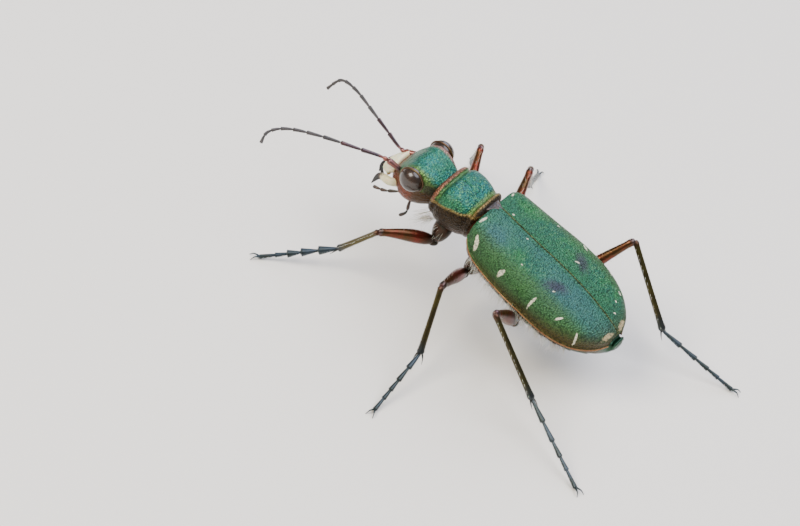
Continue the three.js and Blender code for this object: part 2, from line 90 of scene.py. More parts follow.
def linear(code: str) -> tuple[float, float, float, float]:
    """Turn an sRGB hex colour to the linear values that shaders take.

    Args:
        code: The colour as #RRGGBB.

    Returns:
        Linear red, green, blue and an alpha of one.
    """
    channels = [int(code[i:i + 2], 16) / 255 for i in (1, 3, 5)]
    bent = [c / 12.92 if c <= 0.04045 else ((c + 0.055) / 1.055) ** 2.4 for c in channels]
    return (*bent, 1.0)


def per_metre(spacing_mm: float) -> float:
    """Return the texture scale, in cells to the metre, of a pattern with that spacing."""
    return 1000 / spacing_mm


def unit(vectors: np.ndarray) -> np.ndarray:
    """Return vectors of length one along the last axis."""
    return vectors / np.maximum(np.linalg.norm(vectors, axis=-1, keepdims=True), 1e-12)


def bump(values: np.ndarray, middle: float, width: float) -> np.ndarray:
    """Return a smooth hump of height one at middle, whose sides fall off over width."""
    return np.exp(-((values - middle) / width) ** 2)


def ramped(values: np.ndarray, start: float, full: float) -> np.ndarray:
    """Return a share that goes from nothing at start to one at full."""
    return np.clip((values - start) / (full - start), 0, 1)


def swell(humps: Table, *axes: np.ndarray) -> np.ndarray:
    """Add up smooth humps and dents over a skin.

    Args:
        humps: For each, its height, and then its middle and its width along each axis.
        axes: The value of each point along each axis.

    Returns:
        How far each point is lifted.
    """
    lift = np.zeros(np.shape(axes[0]))
    for height, *spans in humps:
        lift += height * math.prod(bump(*axis) for axis in zip(axes, spans[::2], spans[1::2]))
    return lift


def eased(rows: Table, steps: int) -> np.ndarray:
    """Fill a table of sections with smooth in-between rows.

    Args:
        rows: One row of sizes for each section.
        steps: How many rows each gap becomes.

    Returns:
        The rows, with a smooth curve through every column.
    """
    known = np.asarray(rows, float)
    padded = np.vstack([known[:1], known, known[-1:]])
    made = []
    for a, b, c, d in zip(padded, padded[1:], padded[2:], padded[3:]):
        leave, arrive, rise = (c - a) / 2, (d - b) / 2, c - b
        square, cube = 3 * rise - 2 * leave - arrive, leave + arrive - 2 * rise
        made += [b + t * (leave + t * (square + t * cube)) for t in np.arange(steps) / steps]
    return np.array([*made, known[-1]])


def sampled(line: np.ndarray, shares: np.ndarray) -> np.ndarray:
    """Return the places at those shares of the length of a line of points."""
    run = np.concatenate([[0], np.cumsum(np.linalg.norm(np.diff(line, axis=0), axis=1))])
    return np.stack([np.interp(shares * run[-1], run, column) for column in line.T], axis=1)


def along_curve(points: Table, shares: np.ndarray) -> np.ndarray:
    """Return the points at those shares of the length of a smooth line through the given points."""
    return sampled(eased(points, CURVE_STEPS), shares)


def evenly(line: np.ndarray, count: int) -> np.ndarray:
    """Return count points at even distances along a line of points."""
    return sampled(line, np.linspace(0, 1, count))


def crosswise(ahead: np.ndarray) -> tuple[np.ndarray, np.ndarray]:
    """Return the level and the upright direction square to each heading."""
    level = unit(np.cross(ahead, UP))
    return level, np.cross(level, ahead)


def round_angles(sides: int) -> np.ndarray:
    """Return that many even angles round a ring."""
    return 2 * np.pi * np.arange(sides) / sides


@dataclass(frozen=True)
class Stance:
    """How the trunk's own frame sits above the floor."""

    shift: np.ndarray
    pitch_deg: float = 5.0
    head_roll_deg: float = 8.0
    head_height: float = -1.2

    @classmethod
    def from_frame(cls, eye_centre: Point) -> "Stance":
        """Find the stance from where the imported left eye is.

        Args:
            eye_centre: The left eye's centre in the head's frame.

        Returns:
            The stance.
        """
        low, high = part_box("eye_left")
        found = np.array((low + high) / 2) / MM
        return cls(found - cls(np.zeros(3)).tilted(eye_centre))

    def tilted(self, points: Sequence) -> np.ndarray:
        """Place points of the head, which is rolled with its left side down.

        Args:
            points: Points in the head's frame, in millimetres.

        Returns:
            The points in the world, in millimetres.
        """
        angle = math.radians(self.head_roll_deg)
        x, y, z = np.moveaxis(np.asarray(points, float), -1, 0)
        z = z - self.head_height
        rolled = [x * math.cos(angle) + z * math.sin(angle), y, z * math.cos(angle) - x * math.sin(angle)]
        rolled[2] = rolled[2] + self.head_height
        return self.settled(np.stack(rolled, axis=-1))

    def settled(self, points: Sequence) -> np.ndarray:
        """Place points of the trunk.

        Args:
            points: Points in the trunk's frame, in millimetres.

        Returns:
            The points in the world, in millimetres.
        """
        angle = math.radians(-self.pitch_deg)
        x, y, z = np.moveaxis(np.asarray(points, float), -1, 0)
        turned = [x, y * math.cos(angle) - z * math.sin(angle), y * math.sin(angle) + z * math.cos(angle)]
        return np.stack(turned, axis=-1) + self.shift


class Shape:
    """Points in millimetres and the faces between them, with three place numbers at each point."""

    def __init__(self) -> None:
        """Start an empty shape."""
        self.points: list[np.ndarray] = []
        self.places: list[np.ndarray] = []
        self.faces: list[tuple[int, ...]] = []
        self.count = 0

    def add(self, points: np.ndarray, faces: Faces, places: np.ndarray | None = None) -> None:
        """Add a body of points and faces.

        Args:
            points: The points, in the frame that the shape is built in.
            faces: Faces as indices into points.
            places: For each point, the three numbers that its finish reads. The points themselves if None.
        """
        flat = np.asarray(points, float).reshape(-1, 3)
        self.points.append(flat)
        self.places.append(flat if places is None else np.asarray(places, float).reshape(-1, 3))
        self.faces += [tuple(i + self.count for i in face) for face in faces]
        self.count += len(flat)

    def add_sheet(self, grid: np.ndarray, turned: bool = False) -> None:
        """Add an open sheet.

        Args:
            grid: Its points, as rows, columns and coordinates.
            turned: Whether its faces look the other way.
        """
        rows, columns = grid.shape[:2]
        corners = [row * columns + column for row in range(rows - 1) for column in range(columns - 1)]
        faces = [(a, a + 1, a + columns + 1, a + columns) for a in corners]
        self.add(grid, [face[::-1] for face in faces] if turned else faces)

    def add_skin(self, rings: np.ndarray, places: np.ndarray | None = None) -> None:
        """Add a closed skin over rings of points, with a fan of faces over each end.

        Args:
            rings: Its points, as rows, sides and coordinates.
            places: For each point, the three numbers that its finish reads. The points themselves if None.
        """
        rows, sides = rings.shape[:2]
        hubs = rings[[0, -1]].mean(axis=1)
        faces = []
        for side in range(sides):
            ahead = (side + 1) % sides
            for row in range(rows - 1):
                start = row * sides
                faces.append((start + side, start + ahead, start + sides + ahead, start + sides + side))
            faces.append((rows * sides, ahead, side))
            faces.append((rows * sides + 1, (rows - 1) * sides + side, (rows - 1) * sides + ahead))
        if places is not None:
            places = np.concatenate([places.reshape(-1, 3), places[[0, -1]].mean(axis=1)])
        self.add(np.concatenate([rings.reshape(-1, 3), hubs]), faces, places)

    def add_tube(self, line: np.ndarray, radii: np.ndarray, sides: int = 16, flatten: float = 1.0,
                 start: float = 0.0, end: float = 1.0) -> None:
        """Add a closed round or flattened bar along a line.

        Args:
            line: Points along the middle.
            radii: The radius at each point.
            sides: How many sides it has.
            flatten: Its breadth as a share of its height.
            start: The share of a limb's length that its first point stands for.
            end: The share that its last point stands for.
        """
        line = np.asarray(line, float)
        level, upright = crosswise(unit(np.gradient(line, axis=0)))
        angles = round_angles(sides)[:, None]
        around = level[:, None] * np.cos(angles) * flatten + upright[:, None] * np.sin(angles)
        rings = line[:, None] + np.asarray(radii, float)[:, None, None] * around
        shares = np.linspace(start, end, len(line))[:, None]
        places = np.stack(np.broadcast_arrays(shares, np.arange(sides) / sides, 0.0), axis=-1)
        self.add_skin(rings, places)


def girth(table: Table, shares: np.ndarray) -> np.ndarray:
    """Return radii at shares of a length, smoothly from a table of shares and radii."""
    fine = eased(table, GIRTH_STEPS)
    return np.interp(shares, fine[:, 0], fine[:, 1])


def trunk_ring(row: np.ndarray, crown: float, keel: float, sides: int) -> np.ndarray:
    """Make a section of the trunk square to its length.

    Args:
        row: Its y, half width, top, widest height and bottom.
        crown: How square it is above its widest line. Two is an ellipse.
        keel: How square it is below.
        sides: How many points it has.

    Returns:
        The points, at even distances round the section.
    """
    y, half_width, top, widest, bottom = row
    angles = np.linspace(0, 2 * np.pi, OUTLINE_STEPS + 1)
    across, up = np.cos(angles), np.sin(angles)
    power = 2 / np.where(up >= 0, crown, keel)
    reach = np.where(up >= 0, top - widest, widest - bottom)
    x = half_width * np.sign(across) * np.abs(across) ** power
    z = widest + reach * np.sign(up) * np.abs(up) ** power
    return evenly(np.stack([x, np.full_like(x, y), z], axis=1), sides + 1)[:-1]


def trunk_rings(rows: np.ndarray, crown: float, keel: float, sides: int) -> np.ndarray:
    """Return one trunk section for each row, as rows, sides and coordinates."""
    return np.stack([trunk_ring(row, crown, keel, sides) for row in rows])


def pushed(rings: np.ndarray, widest: np.ndarray, amount: np.ndarray) -> np.ndarray:
    """Return rings moved outward from their sections' middles by an amount for each point."""
    middle = np.stack([np.zeros_like(widest), rings[:, 0, 1], widest], axis=1)[:, None]
    return rings + unit(rings - middle) * amount[..., None]


def build(name: str, shape: Shape, frame: Callable[[np.ndarray], np.ndarray], finish: Material,
          nodes: Sequence[str] = (), sharp_deg: float = 40.0, closed: bool = True) -> bpy.types.Object:
    """Turn a shape into a dressed piece that rides on the body.

    Args:
        name: The piece's name.
        shape: Its points, places and faces.
        frame: What turns its points to world millimetres.
        finish: Its material.
        nodes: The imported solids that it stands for.
        sharp_deg: Edges that bend more than this stay sharp.
        closed: Whether every body in it is closed.

    Returns:
        The piece.
    """
    mesh = bpy.data.meshes.new(name)
    points = frame(np.concatenate(shape.points)) * MM
    mesh.from_pydata(points.tolist(), [], shape.faces)
    place = mesh.attributes.new("place", "FLOAT_VECTOR", "POINT")
    place.data.foreach_set("vector", np.concatenate(shape.places).astype(np.float32).ravel())
    if closed:
        turned = bmesh.new()
        turned.from_mesh(mesh)
        bmesh.ops.recalc_face_normals(turned, faces=turned.faces)
        turned.to_mesh(mesh)
        turned.free()
    mesh.polygons.foreach_set("use_smooth", [True] * len(mesh.polygons))
    mesh.set_sharp_from_angle(angle=math.radians(sharp_deg))
    mesh.materials.append(finish)
    piece = bpy.data.objects.new(name, mesh)
    bpy.context.scene.collection.objects.link(piece)
    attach(piece, BODY)
    if nodes:
        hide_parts(*nodes)
    LOG.info("%s: %d points, %d faces", name, len(mesh.vertices), len(mesh.polygons))
    return piece


def thicken(piece: bpy.types.Object, thickness: float, offset: float) -> None:
    """Give an open sheet a thickness in millimetres, all inward at an offset of minus one."""
    modifier = piece.modifiers.new("thickness", "SOLIDIFY")
    modifier.thickness, modifier.offset = thickness * MM, offset


def add_node(tree: Tree, kind: str, settings: dict | None = None,
             inputs: dict | None = None) -> bpy.types.Node:
    """Add a shader node.

    Args:
        tree: The material's node tree.
        kind: The node's type name.
        settings: Its own settings, by name.
        inputs: For its sockets, by name or number, a value or the socket that feeds it.

    Returns:
        The node.
    """
    node = tree.nodes.new(kind)
    for key, value in (settings or {}).items():
        setattr(node, key, value)
    for key, value in (inputs or {}).items():
        if isinstance(value, bpy.types.NodeSocket):
            tree.links.new(value, node.inputs[key])
        else:
            node.inputs[key].default_value = value
    return node


class Along(Enum):
    """Which of a point's three place numbers a zone goes by. On a limb X is the share of its length."""

    X = "X"
    Y = "Y"
    Z = "Z"


@dataclass(frozen=True)
class Mark:
    """A patch of another colour on a finish."""

    colour: str
    strength: float = 1.0
    metallic: float | None = None
    roughness: float | None = None

    def mask(self, tree: Tree, place: Socket, wander: Socket) -> Socket:
        """Return the socket that says how much of the patch shows at each point."""
        raise NotImplementedError


@dataclass(frozen=True)
class Zone(Mark):
    """A patch between two values of one place number, blending from start to full."""

    along: Along = Along.X
    start: float = 0.0
    full: float = 1.0
    ragged: float = 0.0
    mirrored: bool = False
    within: tuple[Along, float, float] | None = None

    def mask(self, tree: Tree, place: Socket, wander: Socket) -> Socket:
        """Lay the zone out, blended smoothly between its two bounds.

        Args:
            tree: The material's node tree.
            place: The three place numbers of each point.
            wander: Soft noise about zero, which makes edges ragged.

        Returns:
            The socket with the zone's share.
        """
        parts = add_node(tree, "ShaderNodeSeparateXYZ", inputs={0: place})
        value = parts.outputs[self.along.value]
        if self.mirrored:
            value = add_node(tree, "ShaderNodeMath", {"operation": "ABSOLUTE"}, {0: value}).outputs[0]
        if self.ragged:
            shaken = {0: wander, 1: self.ragged, 2: value}
            value = add_node(tree, "ShaderNodeMath", {"operation": "MULTIPLY_ADD"}, shaken).outputs[0]
        smooth = {"interpolation_type": "SMOOTHSTEP"}
        bounds = {"Value": value, "From Min": self.start, "From Max": self.full}
        share = add_node(tree, "ShaderNodeMapRange", smooth, bounds).outputs[0]
        if self.within is not None:
            axis, start, full = self.within
            bounds = {"Value": parts.outputs[axis.value], "From Min": start, "From Max": full}
            both = {0: share, 1: add_node(tree, "ShaderNodeMapRange", smooth, bounds).outputs[0]}
            share = add_node(tree, "ShaderNodeMath", {"operation": "MULTIPLY"}, both).outputs[0]
        return share


@dataclass(frozen=True)
class Spot(Mark):
    """A patch in the shape of a turned, ragged ellipse."""

    centre: Point = (0.0, 0.0, 0.0)
    radii: Point = (0.1, 0.1, 0.5)
    turn_deg: float = 0.0
    ragged: float = 0.35
    edge: float = 0.12

    def mask(self, tree: Tree, place: Socket, wander: Socket) -> Socket:
        """Lay the spot out, with a ragged edge.

        Args:
            tree: The material's node tree.
            place: The three place numbers of each point.
            wander: Soft noise about zero, which makes edges ragged.

        Returns:
            The socket that is one inside the ellipse and nothing outside.
        """
        turn = (0.0, 0.0, math.radians(self.turn_deg))
        own = {"Vector": place, "Location": self.centre, "Rotation": turn, "Scale": self.radii}
        local = add_node(tree, "ShaderNodeMapping", {"vector_type": "TEXTURE"}, own)
        reach = add_node(tree, "ShaderNodeVectorMath", {"operation": "LENGTH"}, {0: local.outputs[0]})
        shaken = {0: wander, 1: self.ragged, 2: reach.outputs["Value"]}
        value = add_node(tree, "ShaderNodeMath", {"operation": "MULTIPLY_ADD"}, shaken).outputs[0]
        bounds = {"Value": value, "From Min": 1 + self.edge, "From Max": 1 - self.edge}
        return add_node(tree, "ShaderNodeMapRange", {"interpolation_type": "SMOOTHSTEP"}, bounds).outputs[0]


@dataclass(frozen=True)
class Cuticle:
    """A finish of insect cuticle: chitin in thin layers, which colour the light that they send back."""

    name: str
    colour: str
    mottle: str
    metallic: float = 0.5
    roughness: float = 0.4
    ior: float = 1.56
    coat: float = 0.15
    coat_roughness: float = 0.3
    mottle_mm: float = 0.6
    grain_mm: float = 0.09
    grain_depth_mm: float = 0.012
    wrinkle_mm: float = 0.0
    wrinkle_depth_mm: float = 0.0
    sheen: float = 0.0
    translucent: float = 0.0
    fleck: str | None = None
    fleck_share: float = 0.35
    # Painted shade in the hollows between granules: the colour that darkens them, and the most of it that
    # shows
    pit_shade: str | None = None
    pit_shade_share: float = 0.55
    marks: tuple[Mark, ...] = field(default=())

    def make(self) -> Material:
        """Build the material.

        Returns:
            The material, with its colours, marks, grain and gloss.
        """
        material = bpy.data.materials.new(self.name)
        material.use_nodes = True
        tree = material.node_tree
        tree.nodes.clear()
        place = add_node(tree, "ShaderNodeAttribute", {"attribute_name": "place"}).outputs["Vector"]
        room = add_node(tree, "ShaderNodeTexCoord").outputs["Object"]
        cells = {"Vector": room, "Scale": per_metre(self.grain_mm), "Randomness": 0.9}
        cell = add_node(tree, "ShaderNodeTexVoronoi", inputs=cells)
        colour = self.ground(tree, room, cell.outputs["Color"])
        shake = {"Vector": room, "Scale": per_metre(WANDER_MM), "Detail": 2.0}
        noise = add_node(tree, "ShaderNodeTexNoise", inputs=shake).outputs["Fac"]
        wander = add_node(tree, "ShaderNodeMath", {"operation": "SUBTRACT"}, {0: noise, 1: 0.5}).outputs[0]
        gloss: dict[str, Socket | float] = {"metallic": self.metallic, "roughness": self.roughness}
        for mark in self.marks:
            mask = mark.mask(tree, place, wander)
            if mark.strength < 1:
                damped = {0: mask, 1: mark.strength}
                mask = add_node(tree, "ShaderNodeMath", {"operation": "MULTIPLY"}, damped).outputs[0]
            laid = {0: mask, 6: colour, 7: linear(mark.colour)}
            colour = add_node(tree, "ShaderNodeMix", {"data_type": "RGBA"}, laid).outputs[2]
            for key, own in (("metallic", mark.metallic), ("roughness", mark.roughness)):
                if own is not None:
                    mixed = {0: mask, 2: gloss[key], 3: own}
                    gloss[key] = add_node(tree, "ShaderNodeMix", inputs=mixed).outputs[0]
        distance = cell.outputs["Distance"]
        # Painted shade: the hollows between the granules are darkened by multiplying in a bluish grey
        if self.pit_shade is not None:
            start, full = PIT_SHADE_EDGES
            deep = {"Value": distance, "From Min": start, "From Max": full, "To Max": self.pit_shade_share}
            share = add_node(tree, "ShaderNodeMapRange", inputs=deep).outputs[0]
            laid = {0: share, 6: colour, 7: linear(self.pit_shade)}
            shaded = {"data_type": "RGBA", "blend_type": "MULTIPLY"}
            colour = add_node(tree, "ShaderNodeMix", shaded, laid).outputs[2]
        shader = {
            "Base Color": colour, "Metallic": gloss["metallic"], "Roughness": gloss["roughness"],
            "IOR": self.ior, "Coat Weight": self.coat, "Coat Roughness": self.coat_roughness,
            "Sheen Weight": self.sheen, "Subsurface Weight": self.translucent,
            "Subsurface Scale": GLOW_MM * MM, "Normal": self.relief(tree, room, distance),
        }
        surface = add_node(tree, "ShaderNodeBsdfPrincipled", inputs=shader)
        add_node(tree, "ShaderNodeOutputMaterial", inputs={"Surface": surface.outputs[0]})
        return material

    def ground(self, tree: Tree, room: Socket, draw: Socket) -> Socket:
        """Lay the ground colour under the marks: two tones in soft clouds, and flecks on some granules.

        Args:
            tree: The material's node tree.
            room: Each point's place in the object.
            draw: A random colour for each granule.

        Returns:
            The socket with the colour.
        """
        clouds = {"Vector": room, "Scale": per_metre(self.mottle_mm), "Detail": 3.0, "Roughness": 0.6}
        cloud = add_node(tree, "ShaderNodeTexNoise", inputs=clouds).outputs["Fac"]
        start, full = CLOUD_EDGES
        spread = {"Value": cloud, "From Min": start, "From Max": full}
        share = add_node(tree, "ShaderNodeMapRange", {"interpolation_type": "SMOOTHSTEP"}, spread).outputs[0]
        tones = {0: share, 6: linear(self.colour), 7: linear(self.mottle)}
        colour = add_node(tree, "ShaderNodeMix", {"data_type": "RGBA"}, tones).outputs[2]
        if self.fleck is None:
            return colour
        drawn = add_node(tree, "ShaderNodeSeparateColor", inputs={0: draw}).outputs[0]
        shown = {"Value": drawn, "From Min": 1 - self.fleck_share, "From Max": 1.0, "To Max": FLECK_TOP}
        share = add_node(tree, "ShaderNodeMapRange", inputs=shown).outputs[0]
        laid = {0: share, 6: colour, 7: linear(self.fleck)}
        return add_node(tree, "ShaderNodeMix", {"data_type": "RGBA"}, laid).outputs[2]

    def relief(self, tree: Tree, room: Socket, distance: Socket) -> Socket:
        """Raise the grain, and fold the surface under it if the cuticle has wrinkles.

        Args:
            tree: The material's node tree.
            room: Each point's place in the object.
            distance: Each point's distance from the middle of its granule.

        Returns:
            The socket with the normal.
        """
        raised = {"Height": distance, "Distance": self.grain_depth_mm * MM, "Strength": 1.0}
        if self.wrinkle_mm:
            folds = {"Vector": room, "Scale": per_metre(self.wrinkle_mm), "Detail": 2.0, "Distortion": 1.2}
            fold = add_node(tree, "ShaderNodeTexNoise", inputs=folds).outputs["Fac"]
            bent = {"Height": fold, "Distance": self.wrinkle_depth_mm * MM, "Strength": 1.0}
            raised["Normal"] = add_node(tree, "ShaderNodeBump", inputs=bent).outputs[0]
        return add_node(tree, "ShaderNodeBump", inputs=raised).outputs[0]


@dataclass
class WingCases:
    """The two hard wing cases, a domed shell each, which meet at the suture."""

    stance: Stance
    sections: tuple[tuple[float, ...], ...] = (
        (-0.3, 1.95, 0.2, -0.75), (0.05, 2.25, 0.3, -1.05), (0.8, 2.48, 0.22, -1.4),
        (2.4, 2.7, 0.01, -1.65), (4.2, 2.84, -0.17, -1.78), (5.8, 2.77, -0.45, -1.95),
        (7.1, 2.3, -0.82, -2.04), (8.0, 1.45, -1.18, -2.02), (8.4, 0.6, -1.45, -1.95),
    )
    crown: float = 4.2
    seam: float = 0.012
    thickness: float = 0.12
    rows_per_section: int = 16
    columns: int = 72
    edge_columns: int = 9
    edge_share: float = 0.12
    middle_shares: tuple[float, float] = (0.14, 0.84)
    arc_steps: int = 400
    suture_humps: Table = ((0.04, 0.05, 0.05), (-0.035, 0.17, 0.05))
    rim_humps: Table = ((0.05, 0.05, 0.07), (-0.03, 0.24, 0.08))
    disc_humps: Table = (
        (0.07, 1.65, 0.42, 0.55, 0.6), (-0.06, 1.05, 0.4, 0.9, 0.7), (-0.03, 1.5, 0.5, 3.6, 1.2))
    bead_radius: float = 0.04
    bead_rise: float = 0.03
    bead_start: int = 6
    bead_points: int = 140
    # Each spot's x and y, its half length and half width, and its turn in degrees
    spots: dict[str, Table] = field(default_factory=lambda: {
        "left": (
            (1.35, -0.13, 0.25, 0.08, 171), (2.32, 0.38, 0.34, 0.06, 50), (2.6, 2.3, 0.15, 0.08, 106),
            (2.74, 4.4, 0.22, 0.065, 160), (2.42, 5.96, 0.21, 0.05, 139), (2.22, 7.14, 0.2, 0.06, 53),
            (0.28, 2.04, 0.07, 0.045, 112), (1.78, 2.82, 0.05, 0.04, 107), (1.64, 4.87, 0.08, 0.035, 134),
        ),
        "right": (
            (-1.35, -0.13, 0.14, 0.05, 9), (-2.3, 0.3, 0.36, 0.07, 130), (-2.6, 2.3, 0.15, 0.08, 74),
            (-2.28, 4.22, 0.2, 0.07, 60), (-2.42, 5.96, 0.21, 0.05, 41), (-1.82, 7.02, 0.11, 0.06, 69),
            (-0.26, 0.67, 0.06, 0.04, 104), (-2.05, 2.53, 0.07, 0.05, 103), (-0.95, 4.55, 0.12, 0.05, 120),
            (-1.16, 7.2, 0.07, 0.045, 80), (-0.58, 7.59, 0.07, 0.045, 120),
        ),
    })
    tips: dict[str, Sequence[float]] = field(default_factory=lambda: {
        "left": (0.7, 8.17, 0.42, 0.1, 170), "right": (-0.53, 8.18, 0.34, 0.12, 14)})
    dusky: dict[str, Sequence[float]] = field(default_factory=lambda: {
        "left": (1.34, 4.75, 0.62, 0.32, 128), "right": (-1.19, 4.71, 0.62, 0.32, 52)})
    # The near case looks bluer where it faces the sky, as in the photograph: a painted sky reflection, laid
    # on as soft blue spots
    painted_sky_sheens: dict[str, Sequence] = field(default_factory=lambda: {
        "left": ((0.6, (1.55, 0.9, 0.8, 0.9, 0)), (0.55, (1.3, 6.0, 0.85, 1.9, 0))), "right": ()})
    # The disc by the suture is its own blue green; the near case's bluer tone is a painted sky reflection
    disc_tones_and_sky_sheen: dict[str, str] = field(default_factory=lambda: {"left": "#36685E", "right": "#266044"})

    def table(self) -> np.ndarray:
        """Return the sections, filled in smoothly along the body and closed to a blunt tip."""
        return eased(self.sections, self.rows_per_section)

    def height(self, x: float, y: float) -> float:
        """Find the shell's height over a place.

        Args:
            x: The place's distance to the left in the trunk's frame.
            y: Its distance to the tail.

        Returns:
            The height of the shell's outside there.
        """
        rows = self.table()
        half_width, top, rim = (np.interp(y, rows[:, 0], rows[:, column]) for column in (1, 2, 3))
        fall = max(1 - (abs(x) / half_width) ** self.crown, 0.0)
        return rim + (top - rim) * fall ** (1 / self.crown)

    def outside(self) -> np.ndarray:
        """Make the left shell's outside.

        Returns:
            Its points, in rows from the suture to the rim.
        """
        edge = np.linspace(0, self.edge_share, self.edge_columns)
        middle = np.linspace(*self.middle_shares, self.columns - 2 * self.edge_columns)
        shares = np.concatenate([edge, middle, 1 - edge[::-1]])
        angle = np.linspace(math.pi / 2, 0, self.arc_steps)
        across, up = (wave(angle).clip(0) ** (2 / self.crown) for wave in (np.cos, np.sin))
        points = []
        for y, half_width, top, rim in self.table():
            arc = np.stack([np.maximum(half_width * across, self.seam), rim + (top - rim) * up], axis=1)
            length = np.linalg.norm(np.diff(arc, axis=0), axis=1).sum()
            x, z = sampled(arc, shares).T
            lift = swell(self.suture_humps, shares * length) + swell(self.rim_humps, (1 - shares) * length)
            lift += swell(self.disc_humps, x, y)
            slope = unit(np.stack([np.gradient(z), -np.gradient(x)], axis=1))
            outward = np.where(slope[:, 1:] < 0, -slope, slope)
            x, z = x + np.abs(outward[:, 0]) * lift, z + outward[:, 1] * lift
            points.append(np.stack([x, np.full_like(x, y), z], axis=1))
        return np.array(points)

    def spot(self, colour: str, row: Sequence[float], strength: float = 1.0, depth: float = 0.5,
             **look: float) -> Spot:
        """Make a spot that lies on the shell.

        Args:
            colour: Its colour as #RRGGBB.
            row: Its x and y, its half length and half width, and its turn in degrees.
            strength: How much of it shows.
            depth: Its half height.
            look: Its other values, by name.

        Returns:
            The spot.
        """
        x, y, long, short, turn = row
        return Spot(colour, strength, centre=(x, y, self.height(x, y)), radii=(long, short, depth),
                    turn_deg=turn, **look)

    def finish(self, side: str) -> Material:
        """Dress one shell: matt green, with cream spots, a dusky patch and a coppery rim.

        Args:
            side: left or right.

        Returns:
            The material.
        """
        pale = {"metallic": 0.0, "roughness": 0.5}
        # The scales between the granules send back green, and their many tilts keep it matt
        return Cuticle(
            f"granulated_green_wing_case_{side}", "#286E3A", "#1E5E48", metallic=0.75, roughness=0.5,
            coat=0.06, coat_roughness=0.4, mottle_mm=1.6, grain_mm=0.092, grain_depth_mm=0.055,
            # Painted shade darkens the hollows between the granules
            fleck="#5A9060", fleck_share=0.5, pit_shade="#5A7A72", pit_shade_share=0.72,
            wrinkle_mm=0.4, wrinkle_depth_mm=0.01,
            marks=(
                # The disc by the suture, bluer on the near case as a painted sky reflection
                Zone(self.disc_tones_and_sky_sheen[side], 0.7, along=Along.X, start=1.5, full=0.3, mirrored=True,
                     ragged=0.6),
                # Painted sky reflection: soft blue spots on the near case
                *(self.spot("#42666E", row, share, 1.5, edge=0.8) for share, row in self.painted_sky_sheens[side]),
                Zone("#3C5C2E", 0.7, along=Along.X, start=1.5, full=2.3, mirrored=True, ragged=0.5),
                Zone("#4A3A12", 0.9, along=Along.Z, start=-0.8, full=-1.75, ragged=0.3),
                Zone("#5E6238", 0.8, along=Along.X, start=0.07, full=0.03, mirrored=True),
                self.spot("#3C2C44", self.dusky[side], 0.75, 0.6, ragged=1.2, edge=0.7),
                self.spot("#A89468", self.tips[side], ragged=1.1, edge=0.3, **pale),
                *(self.spot("#DDD6B8", row, ragged=0.9, edge=0.2, **pale) for row in self.spots[side]),
            ),
        ).make()

    def rim_finish(self) -> Material:
        """Dress the beads along the rims: smooth copper-coloured cuticle, which glints as a fine line."""
        return Cuticle("smooth_copper_rim", "#8A6238", "#74482A", metallic=0.75, roughness=0.32, grain_mm=0.2,
                       grain_depth_mm=0.004).make()

    def build(self) -> None:
        """Build both shells and the beads along their rims."""
        points, place = self.outside(), self.stance.settled
        rim_finish = self.rim_finish()
        for side, sign in SIDES:
            placed = points * [sign, 1, 1]
            shell = Shape()
            shell.add_sheet(placed, turned=sign < 0)
            piece = build(f"wing_case_{side}", shell, place, self.finish(side),
                          [f"elytron_{side}"], closed=False)
            thicken(piece, self.thickness, -1.0)
            bead = Shape()
            line = evenly(placed[self.bead_start:, -1] + [0.0, 0.0, self.bead_rise], self.bead_points)
            bead.add_tube(line, np.full(self.bead_points, self.bead_radius), 10)
            build(f"wing_case_rim_{side}", bead, place, rim_finish)


@dataclass
class Scutellum:
    """The small triangle between the roots of the wing cases."""

    stance: Stance
    half_width: float = 0.55
    front: float = -0.46
    tip: float = 0.12
    top: float = 0.34
    crown_rise: float = 0.16
    depth: float = 0.5
    rows: int = 24
    arc_points: int = 15
    tip_half_width: float = 0.015
    under_share: float = 0.8

    def build(self) -> None:
        """Build the triangle as a low crowned plate with rounded edges."""
        rings = []
        arc = np.linspace(0, math.pi, self.arc_points)
        for share in np.linspace(0, 1, self.rows):
            y = np.full_like(arc, self.front + (self.tip - self.front) * share)
            half = self.half_width * (1 - share) ** 0.9 + self.tip_half_width
            top = self.top - self.crown_rise * (1 - share) ** 2
            crown = top - self.crown_rise + self.crown_rise * np.sin(arc) ** 0.6
            over = np.stack([half * np.cos(arc), y, crown], axis=1)
            under = np.stack([half * self.under_share * np.cos(arc[::-1]), y,
                              np.full_like(arc, top - self.depth)], axis=1)
            rings.append(np.concatenate([over, under]))
        plate = Shape()
        plate.add_skin(np.array(rings))
        # Fine wrinkles grey the copper, so it looks dusty next to the green
        finish = Cuticle("wrinkled_grey_copper_scutellum", "#3E3C3E", "#604A3A", metallic=0.6, roughness=0.46,
                         wrinkle_mm=0.12, wrinkle_depth_mm=0.02).make()
        build("scutellum_plate", plate, self.stance.settled, finish, ["scutellum"])


